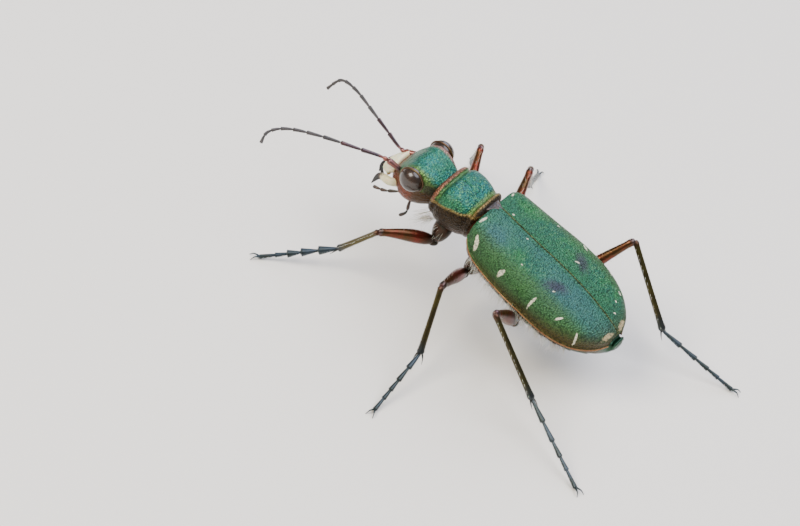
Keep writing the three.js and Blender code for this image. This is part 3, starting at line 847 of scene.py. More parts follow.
@dataclass
class Pronotum:
    """The shield behind the head: a granulated disc with furrows, and smooth flanks below its side edges."""

    stance: Stance
    sections: tuple[tuple[float, ...], ...] = (
        (-0.42, 1.08, -0.25, -0.9, -2.0), (-0.55, 1.22, 0.08, -0.9, -2.2), (-0.7, 1.32, 0.19, -0.9, -2.35),
        (-0.9, 1.28, 0.02, -0.9, -2.4), (-1.25, 1.48, 0.1, -0.95, -2.5), (-1.85, 1.62, 0.22, -1.0, -2.55),
        (-2.4, 1.6, 0.19, -1.05, -2.45), (-2.68, 1.48, -0.02, -1.1, -2.3), (-2.85, 1.5, 0.06, -1.1, -2.2),
        (-3.02, 1.4, -0.04, -1.1, -2.1), (-3.1, 1.2, -0.35, -1.1, -1.95),
    )
    crown: float = 3.6
    keel: float = 2.1
    sides: int = 160
    rows_per_section: int = 10
    side_edge: Table = ((-3.0, -0.92), (-2.6, -0.75), (-1.85, -0.5), (-1.2, -0.42), (-0.66, -0.26))
    # Where along the body the disc's relief and the side edges' ridge fade in, and how far above the edge
    disc_fades: Table = ((-0.92, -1.12), (-2.7, -2.5))
    edge_fade: tuple[float, float] = (-2.9, -2.7)
    above_fade: tuple[float, float] = (0.1, 0.4)
    furrow: Table = ((-0.07, 0, 0.06),)
    pads: Table = ((0.035, 0.75, 0.4),)
    edge_ridge: Table = ((0.06, 0, 0.05),)
    edge_groove: Table = ((-0.05, -0.14, 0.08),)

    def build(self) -> None:
        """Build the shield with its furrows, side edges and rims."""
        rows = eased(self.sections, self.rows_per_section)
        rings = trunk_rings(rows, self.crown, self.keel, self.sides)
        x, y, z = np.moveaxis(rings, -1, 0)
        below = z - np.interp(y, *np.array(self.side_edge).T)
        disc = math.prod(ramped(y, *fade) for fade in self.disc_fades)
        above = disc * ramped(below, *self.above_fade)
        lift = (swell(self.furrow, x) + swell(self.pads, np.abs(x))) * above
        lift += swell(self.edge_ridge, below) * ramped(y, *self.edge_fade)
        lift += swell(self.edge_groove, below) * disc
        shield = Shape()
        shield.add_skin(pushed(rings, rows[:, 3], lift), np.stack([x, y, below], axis=-1))
        marks = (
            Zone("#2C6A3E", 0.7, along=Along.X, start=1.0, full=1.5, mirrored=True, ragged=0.5),
            Zone("#5E7A2C", 0.85, along=Along.Y, start=-1.12, full=-0.95, ragged=0.12),
            Zone("#8A6A38", 0.9, along=Along.Y, start=-0.84, full=-0.72, ragged=0.1, metallic=0.75),
            Zone("#4A4438", 0.9, along=Along.Y, start=-0.66, full=-0.58, metallic=0.5),
            Zone("#4C7030", 0.8, along=Along.Y, start=-2.5, full=-2.68, ragged=0.12),
            Zone("#90583E", 0.95, along=Along.Y, start=-2.76, full=-2.86, ragged=0.1, metallic=0.75),
            Zone("#7A6230", 0.9, along=Along.Z, start=0.14, full=0.03, ragged=0.1, metallic=0.75),
            Zone("#30230E", 1.0, along=Along.Z, start=-0.04, full=-0.16, ragged=0.15, metallic=0.88,
                 roughness=0.36),
            Zone("#4A2A16", 0.6, along=Along.Z, start=-0.9, full=-1.5, ragged=0.4, metallic=0.88),
        )
        # Coarse granules on the disc scatter the teal, and the smooth rims and flanks show copper and bronze
        finish = Cuticle(
            "granulated_teal_shield", "#0E6A5E", "#12604A", metallic=0.72, roughness=0.44, coat=0.1,
            mottle_mm=0.6, grain_mm=0.1, grain_depth_mm=0.045, fleck="#56985E", fleck_share=0.5,
            # Painted shade darkens the hollows between the granules, with a blue tint
            pit_shade="#5C6AA0", pit_shade_share=0.7, wrinkle_mm=0.3, wrinkle_depth_mm=0.06, marks=marks,
        ).make()
        build("pronotum_shield", shield, self.stance.settled, finish, ["pronotum"])


@dataclass
class Head:
    """The head capsule with its orbits, eyes and upper lip."""

    stance: Stance
    sections: tuple[tuple[float, ...], ...] = (
        (-2.8, 0.8, -0.4, -1.15, -1.9), (-3.22, 1.0, -0.12, -1.1, -2.1), (-3.7, 1.2, 0.08, -1.2, -2.45),
        (-4.3, 1.28, 0.18, -1.3, -2.75), (-4.8, 1.2, 0.0, -1.45, -2.75), (-5.2, 1.0, -0.52, -1.6, -2.45),
        (-5.5, 0.86, -1.1, -1.8, -2.25), (-5.66, 0.68, -1.42, -1.85, -2.15),
    )
    crown: float = 4.6
    keel: float = 3.0
    sides: int = 144
    rows_per_section: int = 12
    above_fade: tuple[float, float] = (-0.9, -0.4)
    # The furrow beside each eye, the ridge over it, and the hollow between the eyes
    brow_humps: Table = (
        (-0.06, 0.5, 0.22, -4.9, 0.5), (0.06, 1.02, 0.14, -4.35, 0.6), (-0.05, 0, 0.5, -4.2, 0.5))
    face_groove: Table = ((-0.05, -5.3, 0.06),)
    face_fade: tuple[float, float] = (0.75, 0.55)
    eye_centre: Point = (1.26, -4.38, -0.56)
    eye_radii: Point = (0.55, 0.66, 0.68)
    eye_rows: int = 40
    eye_sides: int = 64
    pole: float = 0.02
    orbit_x: float = 1.25
    orbit_radius: float = 0.05
    orbit_gap: float = 0.02
    orbit_points: int = 73
    orbit_sides: int = 10
    lip_root: Point = (0.0, -5.64, -1.48)
    lip_half_width: float = 0.88
    lip_length: float = 0.96
    lip_slope_deg: float = 55.0
    lip_crown: float = 0.16
    lip_thickness: float = 0.28
    lip_tooth: Table = ((0.05, 0, 0.08),)
    lip_scallop: float = 0.02
    lip_groove: Table = ((0.05, 0.72, 0.12),)
    lip_columns: int = 41
    lip_rows: int = 17

    def build(self) -> None:
        """Build the capsule, the orbits, the eyes and the upper lip."""
        self.build_capsule()
        self.build_eyes()
        self.build_labrum()

    def build_capsule(self) -> None:
        """Build the capsule, with a furrow beside each eye and a low ridge over it."""
        rows = eased(self.sections, self.rows_per_section)
        rings = trunk_rings(rows, self.crown, self.keel, self.sides)
        x, y, z = np.moveaxis(rings, -1, 0)
        lift = swell(self.brow_humps, np.abs(x), y) * ramped(z, *self.above_fade)
        lift += swell(self.face_groove, y) * ramped(np.abs(x), *self.face_fade)
        capsule = Shape()
        capsule.add_skin(pushed(rings, rows[:, 3], lift))
        marks = (
            Zone("#6E8A34", 0.75, along=Along.X, start=0.72, full=1.08, mirrored=True, ragged=0.45),
            Zone("#A8766A", 0.9, along=Along.X, start=-0.74, full=-0.96, ragged=0.25, metallic=0.6),
            Zone("#2C6A3C", 0.6, along=Along.Y, start=-4.7, full=-5.2, ragged=0.4),
            # Painted shade: the head's rear, low behind the eyes, is darkened to olive brown toward the neck
            # under the shield
            Zone("#2A2412", 0.9, along=Along.Y, start=-3.9, full=-3.5, within=(Along.Z, -0.1, -0.5)),
            Zone("#4A3010", 1.0, along=Along.Z, start=-0.75, full=-1.1, ragged=0.35, metallic=0.88,
                 roughness=0.32),
            Zone("#74300F", 0.9, along=Along.Y, start=-3.9, full=-4.3, within=(Along.Z, -1.1, -1.5),
                 metallic=0.88),
        )
        # Granules as on the shield, finer toward the face
        finish = Cuticle(
            "granulated_teal_head", "#127062", "#1A684C", metallic=0.72, roughness=0.44, coat=0.1,
            mottle_mm=0.5, grain_mm=0.09, grain_depth_mm=0.04, fleck="#54946A", fleck_share=0.5,
            # Painted shade darkens the hollows between the granules, with a blue tint
            pit_shade="#6474A4", pit_shade_share=0.7, wrinkle_mm=0.25, wrinkle_depth_mm=0.04, marks=marks,
        ).make()
        build("head_capsule", capsule, self.stance.tilted, finish, ["head"])

    def build_eyes(self) -> None:
        """Build each eye as a dome, and the copper ring that it sits in."""
        # A smooth hard cornea over dark pigment: thousands of lenses, too fine to see singly
        lens = Cuticle("domed_dark_cornea", "#1E150E", "#33241A", metallic=0.0, roughness=0.26, ior=1.5,
                       coat=0.35, coat_roughness=0.14, mottle_mm=0.5, grain_mm=0.05,
                       grain_depth_mm=0.001).make()
        # Bare chitin polished like a bezel, so the eye has a thin coppery outline
        ring_finish = Cuticle("smooth_copper_orbit", "#4A3020", "#5A4824", metallic=0.7, roughness=0.32,
                              grain_depth_mm=0.006).make()
        polar = np.linspace(self.pole, math.pi - self.pole, self.eye_rows)[:, None]
        around = round_angles(self.eye_sides)
        dome = np.stack([np.cos(polar) * np.ones_like(around), np.sin(polar) * np.cos(around),
                         np.sin(polar) * np.sin(around)], axis=-1) * self.eye_radii
        depth = (self.orbit_x - self.eye_centre[0]) / self.eye_radii[0]
        reach = math.sqrt(1 - depth ** 2) + self.orbit_gap
        turns = np.linspace(0, 2 * np.pi, self.orbit_points)
        outward = np.stack([np.zeros_like(turns), np.cos(turns), np.sin(turns)], axis=1)
        angles = round_angles(self.orbit_sides)[:, None]
        for side, sign in SIDES:
            centre = np.array(self.eye_centre) * [sign, 1, 1]
            ball = Shape()
            ball.add_skin(centre + dome)
            build(f"eye_dome_{side}", ball, self.stance.tilted, lens, [f"eye_{side}"])
            line = [sign * self.orbit_x, *centre[1:]] + outward * self.eye_radii * reach
            tube = outward[:, None] * np.cos(angles) + np.array([sign, 0.0, 0.0]) * np.sin(angles)
            orbit = Shape()
            orbit.add_skin(line[:, None] + self.orbit_radius * tube)
            build(f"orbit_ring_{side}", orbit, self.stance.tilted, ring_finish)

    def build_labrum(self) -> None:
        """Build the cream upper lip: a crowned plate with a toothed front edge."""
        slope = math.radians(self.lip_slope_deg)
        across = np.linspace(-1, 1, self.lip_columns)
        front = self.lip_length * (1 - 0.45 * np.abs(across) ** 3.2) + swell(self.lip_tooth, across)
        front += self.lip_scallop * np.cos(across * 9 * math.pi) * (1 - np.abs(across))
        down = np.array([0.0, -math.cos(slope), -math.sin(slope)])
        out = np.array([0.0, -math.sin(slope), math.cos(slope)])
        root = self.lip_root + across[:, None] * [self.lip_half_width, 0.0, 0.0]
        crown = self.lip_crown * (1 - across ** 2)
        points = [
            root + (front * share)[:, None] * down + (crown - swell(self.lip_groove, share))[:, None] * out
            for share in np.linspace(0, 1, self.lip_rows)
        ]
        lip = Shape()
        lip.add_sheet(np.array(points))
        # Unpigmented chitin, pale as horn, with a soft gloss and a little light coming through
        finish = Cuticle("cream_horn_lip", "#D8CE9C", "#E4DCB6", metallic=0.0, roughness=0.42,
                         translucent=0.3, grain_mm=0.2, grain_depth_mm=0.006).make()
        piece = build("labrum_plate", lip, self.stance.tilted, finish, ["labrum"], closed=False)
        thicken(piece, self.lip_thickness, 0.0)


@dataclass
class Mouthparts:
    """The jaws, which are pale at the root and dark at the teeth, and the two pairs of palps."""

    stance: Stance
    jaw_lines: dict[str, Curve] = field(default_factory=lambda: {
        "left": ((0.8, -5.2, -2.1), (1.08, -5.5, -2.05), (0.98, -6.14, -2.35), (0.74, -6.5, -3.55)),
        "right": ((-0.8, -5.2, -2.1), (-0.9, -6.0, -2.25), (-0.1, -6.66, -2.9), (0.45, -5.85, -3.1)),
    })
    jaw_girths: Table = ((0, 0.24), (0.25, 0.24), (0.5, 0.17), (0.75, 0.11), (1, 0.02))
    jaw_flatten: float = 0.8
    jaw_points: int = 40
    # Where along the jaw each tooth stands and how big it is, and how it leans
    teeth: Table = ((0.55, 0.16), (0.7, 0.14), (0.83, 0.1))
    tooth_lean: Point = (-0.75, 0.25, -0.35)
    tooth_reach: float = 2.6
    tooth_points: int = 8
    palps: dict[str, tuple[str, Curve, Sequence[float]]] = field(default_factory=lambda: {
        "upper_palp": (
            "maxillary_palp",
            ((0.85, -4.6, -2.2), (1.1, -5.15, -2.52), (1.2, -5.6, -2.8), (1.25, -6.15, -3.0)),
            (0, 0.2, 0.52, 0.76, 1)),
        "lower_palp": (
            "labial_palp",
            ((0.4, -4.3, -2.3), (0.6, -4.25, -3.0), (0.75, -4.15, -3.6), (0.85, -4.4, -4.05)),
            (0, 0.25, 0.65, 1)),
    })
    palp_girths: Table = ((0, 0.04), (0.15, 0.06), (0.8, 0.095), (1, 0.055))
    palp_points: int = 14

    def build(self) -> None:
        """Build the jaws and the palps on both sides."""
        # Horn-pale chitin at the root, tanned almost black where it bites
        dark = (Zone("#3A2412", along=Along.X, start=0.32, full=0.4, ragged=0.15),
                Zone("#0E0A08", along=Along.X, start=0.38, full=0.48, roughness=0.7))
        jaw_finish = Cuticle("tanned_horn_jaw", "#D6CC98", "#E2DAB4", metallic=0.0, roughness=0.4, coat=0.0,
                             grain_mm=0.2, grain_depth_mm=0.004, translucent=0.15, marks=dark).make()
        # Thin dark chitin with a metallic green and copper cast
        palp_finish = Cuticle("dark_metallic_palp", "#23241E", "#3E2A20", metallic=0.5, roughness=0.3,
                              mottle_mm=0.5, grain_depth_mm=0.004).make()
        for side, sign in SIDES:
            build(f"jaw_{side}", self.jaw(self.jaw_lines[side], sign), self.stance.tilted, jaw_finish,
                  [f"mandible_{side}"])
            for name, (node, points, joints) in self.palps.items():
                palp = self.palp(np.array(points) * [sign, 1, 1], joints)
                build(f"{name}_{side}", palp, self.stance.tilted, palp_finish, [f"{node}_{side}"])

    def jaw(self, curve: Curve, sign: int) -> Shape:
        """Make a jaw, a curved blade with teeth along its inner edge.

        Args:
            curve: The middle of the blade.
            sign: One on the left and minus one on the right.

        Returns:
            The jaw.
        """
        shape = Shape()
        shares = np.linspace(0, 1, self.jaw_points)
        shape.add_tube(along_curve(curve, shares), girth(self.jaw_girths, shares), 20, self.jaw_flatten)
        for place, size in self.teeth:
            root = along_curve(curve, np.array([place]))[0]
            tip = root + np.array(self.tooth_lean) * [sign, 1, 1] * size * self.tooth_reach
            middle = (root + tip) / 2 + [0, 0, 0.02]
            tooth = along_curve([root, middle, tip], np.linspace(0, 1, self.tooth_points))
            radii = np.linspace(size * 0.75, 0.01, self.tooth_points)
            shape.add_tube(tooth, radii, 12, start=0.8, end=0.9)
        return shape

    def palp(self, curve: np.ndarray, joints: Sequence[float]) -> Shape:
        """Make a palp, whose joints each swell toward their end.

        Args:
            curve: The middle of the palp.
            joints: Where its joints start and end, as shares of its length.

        Returns:
            The palp.
        """
        shape = Shape()
        shares = np.linspace(0, 1, self.palp_points)
        for first, last in zip(joints, joints[1:]):
            line = along_curve(curve, first + (last - first) * (0.02 + 0.96 * shares))
            shape.add_tube(line, girth(self.palp_girths, shares), 14, start=first, end=last)
        return shape


@dataclass
class Feelers:
    """The feelers, of eleven joints each: four bare and coppery, then seven dull with down."""

    stance: Stance
    lines: dict[str, Curve] = field(default_factory=lambda: {
        "left": ((0.84, -5.35, -1.2), (1.2, -6.25, -0.92), (1.9, -7.4, -0.84), (3.0, -9.15, -0.76),
                 (4.0, -10.5, -0.8), (4.8, -11.1, -1.05), (5.35, -11.0, -1.45)),
        "right": ((-0.84, -5.35, -1.2), (-0.78, -6.2, -1.6), (-1.4, -7.6, -1.8), (-1.95, -8.8, -1.95),
                  (-2.7, -10.45, -2.2), (-3.0, -11.5, -2.6), (-2.85, -11.95, -3.55)),
    })
    joints: tuple[float, ...] = (0, 0.1, 0.135, 0.29, 0.43, 0.55, 0.66, 0.75, 0.83, 0.89, 0.945, 1)
    bare: int = 4
    scape_girths: Table = ((0, 0.1), (0.12, 0.13), (0.7, 0.17), (0.92, 0.16), (1, 0.08))
    pedicel_girths: Table = ((0, 0.08), (0.5, 0.12), (1, 0.08))
    # The other joints' radii along their length, as shares of the widest
    joint_shares: Table = ((0, 0.5), (0.1, 0.72), (0.8, 1.0), (0.94, 1.08), (1, 0.5))
    radius: float = 0.115
    taper: float = 0.25
    points_per_joint: int = 16
    joint_fill: float = 0.985
    def build(self) -> None:
        """Build each feeler in two pieces, the bare joints and the downy ones."""
        # Bare smooth chitin: pink copper with sharp glints
        dark = Zone("#2E2A30", 0.8, along=Along.X, start=0.13, full=0.18)
        bare_finish = Cuticle("smooth_pink_copper_joint", "#90564A", "#4A3A40", metallic=0.7, roughness=0.28,
                              mottle_mm=0.8, grain_depth_mm=0.003, marks=(dark,)).make()
        # A nap of tiny hairs dulls the outer joints to grey black
        downy_finish = Cuticle("downy_grey_joint", "#2A2726", "#3A3432", metallic=0.1, roughness=0.6,
                               sheen=0.2, coat=0.0, grain_mm=0.07, grain_depth_mm=0.01).make()
        for side, curve in self.lines.items():
            for name, first, last, finish, nodes in (
                ("feeler_base", 0, self.bare, bare_finish, ["scape", "flagellum_base"]),
                ("feeler_tip", self.bare, len(self.joints) - 1, downy_finish, ["flagellum_tip"]),
            ):
                feeler = Shape()
                for joint in range(first, last):
                    self.add_joint(feeler, curve, joint)
                build(f"{name}_{side}", feeler, self.stance.settled, finish,
                      [f"{node}_{side}" for node in nodes])

    def add_joint(self, feeler: Shape, curve: Curve, joint: int) -> None:
        """Add one joint, thin at its root and swelling to a blunt end.

        Args:
            feeler: The shape that it is added to.
            curve: The middle of the whole feeler.
            joint: Its number, from the head.
        """
        begin, end = self.joints[joint:joint + 2]
        shares = np.linspace(0, 1, self.points_per_joint)
        line = along_curve(curve, begin + (end - begin) * shares * self.joint_fill)
        slim = self.radius * (1 - self.taper * begin)
        rest = [(share, slim * size) for share, size in self.joint_shares]
        table = {0: self.scape_girths, 1: self.pedicel_girths}.get(joint, rest)
        feeler.add_tube(line, girth(table, shares), 14, start=begin, end=end)


@dataclass(frozen=True)
class Limb:
    """One leg's hip, in the trunk's frame, and the length, yaw and pitch of each of its lengths."""

    name: str
    hip: Point
    femur: Point
    tibia: Point
    tarsus_length: float
    tarsus_yaw: float

    @property
    def sign(self) -> int:
        """Return one on the left and minus one on the right."""
        return 1 if self.hip[0] > 0 else -1

    @property
    def pair(self) -> str:
        """Return front, middle or hind."""
        return self.name.split("_")[0]


@dataclass
class Legs:
    """The six legs, each of coxa, trochanter, femur, tibia with two spurs, five tarsus joints and claws."""

    stance: Stance
    foot_height: float = 0.13
    limbs: tuple[Limb, ...] = (
        Limb("front_left", (1.1, -1.9, -3.3), (3.4, -37, 13), (3.0, -88, -56), 4.0, -50),
        Limb("middle_left", (1.65, 0.4, -3.15), (3.5, 5, 23), (3.55, 27, -58), 3.85, 3),
        Limb("hind_left", (1.75, 3.9, -3.55), (4.55, 1, 41), (4.85, 92, -45), 4.85, 72),
        Limb("front_right", (-1.1, -1.9, -3.3), (4.05, -26, 35), (3.2, -23, -53), 3.9, -20),
        Limb("middle_right", (-1.65, 0.4, -3.15), (4.2, -19, 32), (3.8, -14, -53), 4.2, -15),
        Limb("hind_right", (-1.75, 3.95, -3.5), (4.8, 31, 38), (4.95, 98, -46), 4.75, 74),
    )
    coxa_roots: dict[str, Point] = field(default_factory=lambda: {
        "front": (0.72, -1.9, -1.7), "middle": (0.95, 0.75, -1.9), "hind": (0.8, 3.2, -2.1)})
    femur_girths: Table = (
        (0, 0.14), (0.06, 0.24), (0.2, 0.35), (0.42, 0.37),
        (0.7, 0.28), (0.88, 0.22), (0.96, 0.23), (1, 0.13))
    femur_bow: float = 0.12
    femur_flatten: float = 0.82
    tibia_girths: Table = (
        (0, 0.1), (0.03, 0.17), (0.1, 0.15), (0.5, 0.15), (0.88, 0.17), (0.97, 0.2), (1, 0.12))
    coxa_girths: Table = ((0, 0.42), (0.3, 0.5), (0.6, 0.48), (0.85, 0.33), (1, 0.14))
    bead_girths: Table = ((0, 0.03), (0.2, 0.2), (0.55, 0.25), (0.85, 0.17), (1, 0.04))
    bead_span: tuple[float, float] = (-0.22, 0.42)
    bead_drop: float = 0.04
    # The side and the length of each spur
    spurs: Table = ((-1, 0.55), (1, 0.48))
    spur_radii: tuple[float, float] = (0.055, 0.008)
    tarsus_joints: tuple[float, ...] = (0, 0.26, 0.48, 0.655, 0.805, 1)
    tarsus_radius: float = 0.155
    tarsus_taper: float = 0.008
    front_breadth: float = 1.45
    broad_joints: int = 3
    claw_turn_deg: float = 24.0
    claw_length: float = 0.52
    claw_radii: tuple[float, float] = (0.065, 0.012)
    claw_tip_height: float = 0.015

    def bearing(self, yaw: float, pitch: float, sign: int) -> np.ndarray:
        """Turn two angles to a direction.

        Args:
            yaw: How far back from straight out it turns, in degrees.
            pitch: How far above the level it points, in degrees.
            sign: One on the left and minus one on the right.

        Returns:
            The direction, of length one.
        """
        turn, lift = math.radians(yaw), math.radians(pitch)
        level = math.cos(lift)
        return np.array([sign * level * math.cos(turn), level * math.sin(turn), math.sin(lift)])

    def joints(self, limb: Limb) -> list[np.ndarray]:
        """Find the ends of a leg's lengths.

        Args:
            limb: The leg.

        Returns:
            Its root, hip, knee, ankle and foot in world millimetres.
        """
        root_x, *rest = self.coxa_roots[limb.pair]
        root = self.stance.settled((root_x * limb.sign, *rest))
        hip = self.stance.settled(limb.hip)
        knee = hip + limb.femur[0] * self.bearing(*limb.femur[1:], limb.sign)
        ankle = knee + limb.tibia[0] * self.bearing(*limb.tibia[1:], limb.sign)
        slope = -math.degrees(math.asin((ankle[2] - self.foot_height) / limb.tarsus_length))
        foot = ankle + limb.tarsus_length * self.bearing(limb.tarsus_yaw, slope, limb.sign)
        return [root, hip, knee, ankle, foot]

    def bow(self, shares: np.ndarray) -> np.ndarray:
        """Return how far the femur bows upward at shares of its length."""
        return UP * self.femur_bow * np.sin(math.pi * shares)[:, None]

    def build(self) -> None:
        """Build all six legs."""
        # Thick glossy chitin, bronze at the hip, which shows as a dark glint under the body
        coxa_finish = Cuticle("bronze_coxa", "#1E1C0E", "#38200F", metallic=0.8, roughness=0.34,
                              mottle_mm=0.7, grain_mm=0.15, grain_depth_mm=0.012).make()
        # The same chitin in copper red, green black at the root, with a steel grey glint painted at the knee
        femur_tones_and_knee_glint = (Zone("#181A0E", 0.85, along=Along.X, start=0.4, full=0.05),
                       # Painted highlight: a steel grey glint at the knee
                       Zone("#4A525A", 0.4, along=Along.X, start=0.93, full=0.98, roughness=0.3))
        femur_finish = Cuticle("copper_red_femur", "#6E2A1E", "#4A3418", metallic=0.88, roughness=0.34,
                               coat=0.12, coat_roughness=0.18, mottle_mm=0.9, grain_mm=0.12,
                               grain_depth_mm=0.01, marks=femur_tones_and_knee_glint).make()
        # Bronze green and glossier, copper by the knee and steel blue by the ankle
        tibia_marks = (Zone("#4A261E", 0.7, along=Along.X, start=0.1, full=0.0),
                       Zone("#2A333A", 0.8, along=Along.X, start=0.72, full=0.98))
        tibia_finish = Cuticle("bronze_green_tibia", "#463E14", "#332C10", metallic=0.8, roughness=0.32,
                               coat=0.25, mottle_mm=0.9, grain_mm=0.12, grain_depth_mm=0.008,
                               marks=tibia_marks).make()
        # Dark chitin whose layers send back a little steel blue
        tarsus_finish = Cuticle("steel_blue_tarsus", "#2C3840", "#222C2A", metallic=0.6, roughness=0.34,
                                mottle_mm=0.6, grain_mm=0.1, grain_depth_mm=0.006).make()
        for limb in self.limbs:
            root, hip, knee, ankle, foot = self.joints(limb)
            for name, shape, finish, slot in (
                ("coxa_cone", self.coxa(root, hip, knee), coxa_finish, "coxa"),
                ("thigh", self.femur(hip, knee), femur_finish, "femur"),
                ("shin", self.tibia(knee, ankle), tibia_finish, "tibia"),
                ("foot", self.tarsus(limb, ankle, foot), tarsus_finish, "tarsus"),
            ):
                build(f"{name}_{limb.name}", shape, np.asarray, finish, [f"{slot}_{limb.name}"])

    def coxa(self, root: np.ndarray, hip: np.ndarray, knee: np.ndarray) -> Shape:
        """Make the coxa, a blunt cone, and the trochanter, a bead at its end.

        Args:
            root: Where the coxa starts.
            hip: Where it ends.
            knee: Where the femur ends, which the bead points to.

        Returns:
            Both.
        """
        shape = Shape()
        shares = np.linspace(0, 1, 24)
        shape.add_tube(root + (hip - root) * shares[:, None], girth(self.coxa_girths, shares), 28)
        shares = np.linspace(0, 1, 18)
        bead = hip + unit(knee - hip) * np.linspace(*self.bead_span, 18)[:, None] - UP * self.bead_drop
        shape.add_tube(bead, girth(self.bead_girths, shares), 22)
        return shape

    def femur(self, hip: np.ndarray, knee: np.ndarray) -> Shape:
        """Make the femur, a slim club with a rounded knee.

        Args:
            hip: Where it starts.
            knee: Where it ends.

        Returns:
            The femur.
        """
        shape = Shape()
        shares = np.linspace(0, 1, 48)
        line = hip + (knee - hip) * shares[:, None] + self.bow(shares)
        shape.add_tube(line, girth(self.femur_girths, shares), 26, self.femur_flatten)
        return shape

    def tibia(self, knee: np.ndarray, ankle: np.ndarray) -> Shape:
        """Make the tibia, a slender rod with a swollen end and two spurs.

        Args:
            knee: Where it starts.
            ankle: Where it ends.

        Returns:
            The tibia.
        """
        shape = Shape()
        shares = np.linspace(0, 1, 44)
        shape.add_tube(knee + (ankle - knee) * shares[:, None], girth(self.tibia_girths, shares), 22)
        ahead = unit(ankle - knee)
        level, _ = crosswise(ahead)
        for turn, reach in self.spurs:
            across = level * turn
            start = ankle - ahead * 0.08 + across * 0.1
            tip = start + ahead * reach + across * 0.14 - UP * 0.05
            spur = along_curve([start, (start + tip) / 2 + across * 0.04, tip], np.linspace(0, 1, 10))
            shape.add_tube(spur, np.linspace(*self.spur_radii, 10), 10, start=0.9, end=1.0)
        return shape

    def tarsus(self, limb: Limb, ankle: np.ndarray, foot: np.ndarray) -> Shape:
        """Make the five joints of the tarsus, each widening to its end, and the two claws.

        Args:
            limb: The leg, which is broader in the front pair.
            ankle: Where the tarsus starts.
            foot: Where it ends.

        Returns:
            The tarsus.
        """
        shape = Shape()
        broad = self.front_breadth if limb.pair == "front" else 1.0
        shares = np.linspace(0, 1, 18)
        for joint, (first, last) in enumerate(zip(self.tarsus_joints, self.tarsus_joints[1:])):
            line = ankle + (foot - ankle) * (first + (last - first) * (shares * 1.02))[:, None]
            wide = self.tarsus_radius - self.tarsus_taper * joint
            wide *= broad if joint < self.broad_joints else 1.0
            table = ((0, 0.07), (0.12, 0.085), (0.75, wide * 0.9), (0.95, wide), (1, 0.08))
            shape.add_tube(line, girth(table, shares), 16, start=first, end=last)
        x, y, _ = heading = unit((foot - ankle) * [1, 1, 0])
        for turn in (-1, 1):
            angle = math.radians(self.claw_turn_deg * turn)
            spread = np.array([x * math.cos(angle) - y * math.sin(angle),
                               x * math.sin(angle) + y * math.cos(angle), 0.0])
            tip = foot + spread * self.claw_length
            tip[2] = self.claw_tip_height
            bend = foot + spread * 0.3 + UP * 0.06
            claw = along_curve([foot - heading * 0.05, bend, tip], np.linspace(0, 1, 14))
            shape.add_tube(claw, np.linspace(*self.claw_radii, 14), 10, start=1.0, end=1.0)
        return shape


@dataclass
class Underbody:
    """The hind thorax and the belly, whose plates overlap like tiles."""

    stance: Stance
    wings: WingCases
    belly_line: tuple[float, ...] = (-2.1, -2.4, -2.6, -2.8, -2.95, -2.9, -2.85, -2.8, -2.7)
    front: tuple[float, ...] = (-0.75, 1.0, -0.6, -1.2, -1.95)
    tail: Table = ((8.62, 0.42, -1.72, -2.0, -2.3), (8.74, 0.2, -1.85, -2.0, -2.15))
    belt: float = 3.7
    keel: float = 2.4
    sides: int = 96
    rows_per_section: int = 14
    side_gap: float = 0.26
    top_gap: float = 0.4
    rim_gap: float = 0.22
    least_half: float = 0.5
    least_rise: float = 0.05
    plate_ends: tuple[float, ...] = (3.7, 4.75, 5.65, 6.45, 7.15, 7.8, 8.7)
    plate_step: float = 0.07
    thorax_grooves: Table = ((-0.06, 0.35, 0.08), (-0.05, 2.9, 0.07))
    groove_top: float = -1.6

    def build(self) -> None:
        """Build the thorax and the belly from one set of sections."""
        under_wings = [
            (y, max(half_width - self.side_gap, self.least_half),
             max(top - self.top_gap, rim + self.least_rise), rim - self.rim_gap, bottom)
            for (y, half_width, top, rim), bottom in zip(self.wings.sections, self.belly_line)
        ]
        rows = eased([self.front, *under_wings, *self.tail], self.rows_per_section)
        # Smooth bronze and green plates with a strong metallic shine
        marks = (Zone("#5A3018", 0.8, along=Along.Y, start=2.2, full=0.4, ragged=0.6, metallic=0.8),
                 Zone("#163E28", 1.0, along=Along.Y, start=8.15, full=8.35, metallic=0.75))
        finish = Cuticle("polished_bronze_green_plate", "#1E3A24", "#3A2A14", metallic=0.6, roughness=0.32,
                         mottle_mm=1.2, grain_mm=0.14, grain_depth_mm=0.01, marks=marks).make()
        cut = int(np.argmax(rows[:, 0] >= self.belt))
        for name, node, part, relief in (
            ("hind_thorax", "thorax", rows[:cut + 1], self.grooves),
            ("belly_plates", "abdomen", rows[cut:], self.steps),
        ):
            rings = trunk_rings(part, self.wings.crown, self.keel, self.sides)
            skin = Shape()
            skin.add_skin(pushed(rings, part[:, 3], relief(rings)))
            build(name, skin, self.stance.settled, finish, [node])

    def grooves(self, rings: np.ndarray) -> np.ndarray:
        """Return the grooves between the plates of the thorax, which run round its underside."""
        return swell(self.thorax_grooves, rings[..., 1]) * (rings[..., 2] < self.groove_top)

    def steps(self, rings: np.ndarray) -> np.ndarray:
        """Return the steps of the belly, where each plate rises toward the next one.

        Args:
            rings: The points of the belly's skin.

        Returns:
            How far each point is lifted.
        """
        y = rings[..., 1]
        lift = np.zeros_like(y)
        for start, end in zip(self.plate_ends, self.plate_ends[1:]):
            lift += np.where((y >= start) & (y < end), self.plate_step * ramped(y, start, end) ** 2, 0)
        return lift


